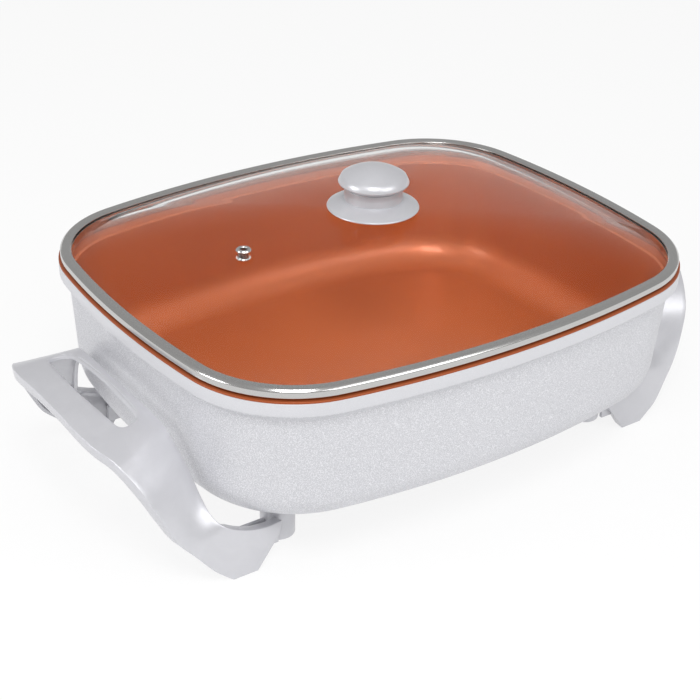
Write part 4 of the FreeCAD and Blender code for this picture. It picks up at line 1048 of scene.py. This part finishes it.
def make_print(middle, ring):
    """Six figures and an off mark round the dial; the pointer turns past them."""
    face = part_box("control_upper_case")[1][2] / MM
    pieces = []
    for number in range(1, FIGURE_COUNT + 1):
        angle = math.radians(-FIGURE_TURN * number)
        place = (middle + ring * math.cos(angle), ring * math.sin(angle), face + 0.04)
        pieces.append(printed(str(number), place, angle - math.pi / 2))
    section = [(0.75, face), (1.35, face), (1.35, face + 0.09), (0.75, face + 0.09)]
    off = turned("off_mark", section, (middle + ring, 0.0), 32)
    figures = join("printed_figures", pieces + [off])
    put(figures, "heat_control", PRINT_WHITE)


# Finishes of the pieces kept from the frame

NODE_FINISHES = [
    (TUBE_STEEL, ["heating_element"]),
    (NICKEL, ["terminal_pins"]),
    (CERAMIC, ["terminal_insulators"]),
    (SHEET_STEEL, ["terminal_guard", "thermostat_frame"]),
    (ZINC, ["guard_screws", "left_handle_screws", "right_handle_screws", "left_handle_washers",
            "right_handle_washers", "knob_washer", "knob_screw", "control_case_screws"]),
    (BLACK_RUBBER, ["knob_gasket", "cord_gland"]),
    (BLACK_MOULDING, ["control_upper_case", "control_lower_case"]),
    (GROUND_STEEL, ["probe_rod", "dial_spindle"]),
    (BRASS, ["contact_sockets", "bimetal_blade"]),
    (LAMP_GLASS, ["neon_lamp"]),
    (RED_LENS, ["indicator_lens"]),
]


def finish_nodes():
    for material, nodes in NODE_FINISHES:
        for node in nodes:
            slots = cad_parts[node].data.materials
            slots.clear()
            slots.append(material)


# Stage, lamps and camera

FLOOR_SIZE = 40
FLOOR_GLOW = 0.86
AIR_LIGHT = 0.46

# Each lamp's name, place, target, size in metres and power in watts.
LAMPS = [
    ("softbox_front", (0.35, -1.35, 1.15), (0, 0, 0.08), (1.0, 0.7), 8),
    ("softbox_high", (-0.65, -0.95, 1.55), (0, 0, 0.1), (0.6, 0.6), 15),
    ("softbox_left", (-1.5, 0.35, 0.8), (-0.1, 0, 0.08), (0.6, 0.6), 8),
]

# The camera as solved from the photo's outlines.
CAMERA_TARGET = (0, 0, 0.060)
CAMERA_SIDE = (-0.5175, -0.7034, 0.4871)
CAMERA_DISTANCE = 1.1718
CAMERA_TURN = -36.34
CAMERA_ROLL = 1.82
CAMERA_LENS = 80.04
CAMERA_SHIFT = (-0.0258, 0.0122)


def floor_material():
    """A pale floor that looks near white and still takes the object's shadow."""
    material = bpy.data.materials.new("pale_floor")
    material.use_nodes = True
    tree = material.node_tree
    shader = tree.nodes["Principled BSDF"]
    shader.inputs["Base Color"].default_value = (0.92, 0.92, 0.92, 1.0)
    shader.inputs["Roughness"].default_value = 0.9
    shader.inputs["Specular IOR Level"].default_value = 0.1
    glow = tree.nodes.new("ShaderNodeEmission")
    glow.inputs["Color"].default_value = (1.0, 1.0, 1.0, 1.0)
    path = tree.nodes.new("ShaderNodeLightPath")
    seen = calculate(tree, "MAXIMUM", path.outputs["Is Camera Ray"], path.outputs["Is Glossy Ray"])
    seen = calculate(tree, "MAXIMUM", seen, path.outputs["Is Transmission Ray"])
    mixer = tree.nodes.new("ShaderNodeMixShader")
    tree.links.new(calculate(tree, "MULTIPLY", seen, FLOOR_GLOW), mixer.inputs[0])
    tree.links.new(shader.outputs["BSDF"], mixer.inputs[1])
    tree.links.new(glow.outputs["Emission"], mixer.inputs[2])
    tree.links.new(mixer.outputs["Shader"], tree.nodes["Material Output"].inputs["Surface"])
    return material


def make_stage():
    material = floor_material()
    deselect()
    bpy.ops.mesh.primitive_plane_add(size=FLOOR_SIZE, location=(0, 0, 0))
    floor = bpy.context.object
    floor.name = "studio_floor"
    floor.data.materials.append(material)


def make_world():
    """White behind everything, and a softer even light from all sides."""
    world = bpy.data.worlds.new("studio_air")
    bpy.context.scene.world = world
    world.use_nodes = True
    tree = world.node_tree
    sky = tree.nodes["Background"]
    sky.inputs["Color"].default_value = (1.0, 1.0, 1.0, 1.0)
    path = tree.nodes.new("ShaderNodeLightPath")
    seen = calculate(tree, "MAXIMUM", path.outputs["Is Camera Ray"], path.outputs["Is Transmission Ray"])
    tree.links.new(spread(tree, seen, 0.0, 1.0, AIR_LIGHT, 1.0), sky.inputs["Strength"])


def make_lamps():
    for name, place, target, size, power in LAMPS:
        data = bpy.data.lights.new(name, "AREA")
        data.shape = "RECTANGLE"
        data.size, data.size_y = size
        data.energy = power
        piece = bpy.data.objects.new(name, data)
        bpy.context.collection.objects.link(piece)
        piece.location = place
        aim = Vector(target) - Vector(place)
        piece.rotation_euler = aim.to_track_quat("-Z", "Y").to_euler()


def make_camera():
    """Stands where the photo was taken from and looks the same way."""
    data = bpy.data.cameras.new("photo_camera")
    camera = bpy.data.objects.new("photo_camera", data)
    bpy.context.collection.objects.link(camera)
    turn, roll = math.radians(CAMERA_TURN), math.radians(CAMERA_ROLL)
    back = Vector(CAMERA_SIDE).normalized()
    across = Vector((math.cos(turn), math.sin(turn), 0))
    up = back.cross(across)
    right = across * math.cos(roll) + up * math.sin(roll)
    above = up * math.cos(roll) - across * math.sin(roll)
    place = Vector(CAMERA_TARGET) + back * CAMERA_DISTANCE
    frame_axes = Matrix((right, above, back)).transposed().to_4x4()
    camera.matrix_world = Matrix.Translation(place) @ frame_axes
    data.lens = CAMERA_LENS
    data.sensor_width = 36.0
    data.shift_x, data.shift_y = CAMERA_SHIFT
    data.clip_end = 60.0
    bpy.context.scene.camera = camera
    bpy.context.scene.view_settings.view_transform = "Standard"


make_camera()
make_world()
make_stage()
make_lamps()
make_pan()
make_glass()
make_band()
make_vent()
make_knob_skirt()
make_knob_cap()
make_handles()
make_dial()
finish_nodes()
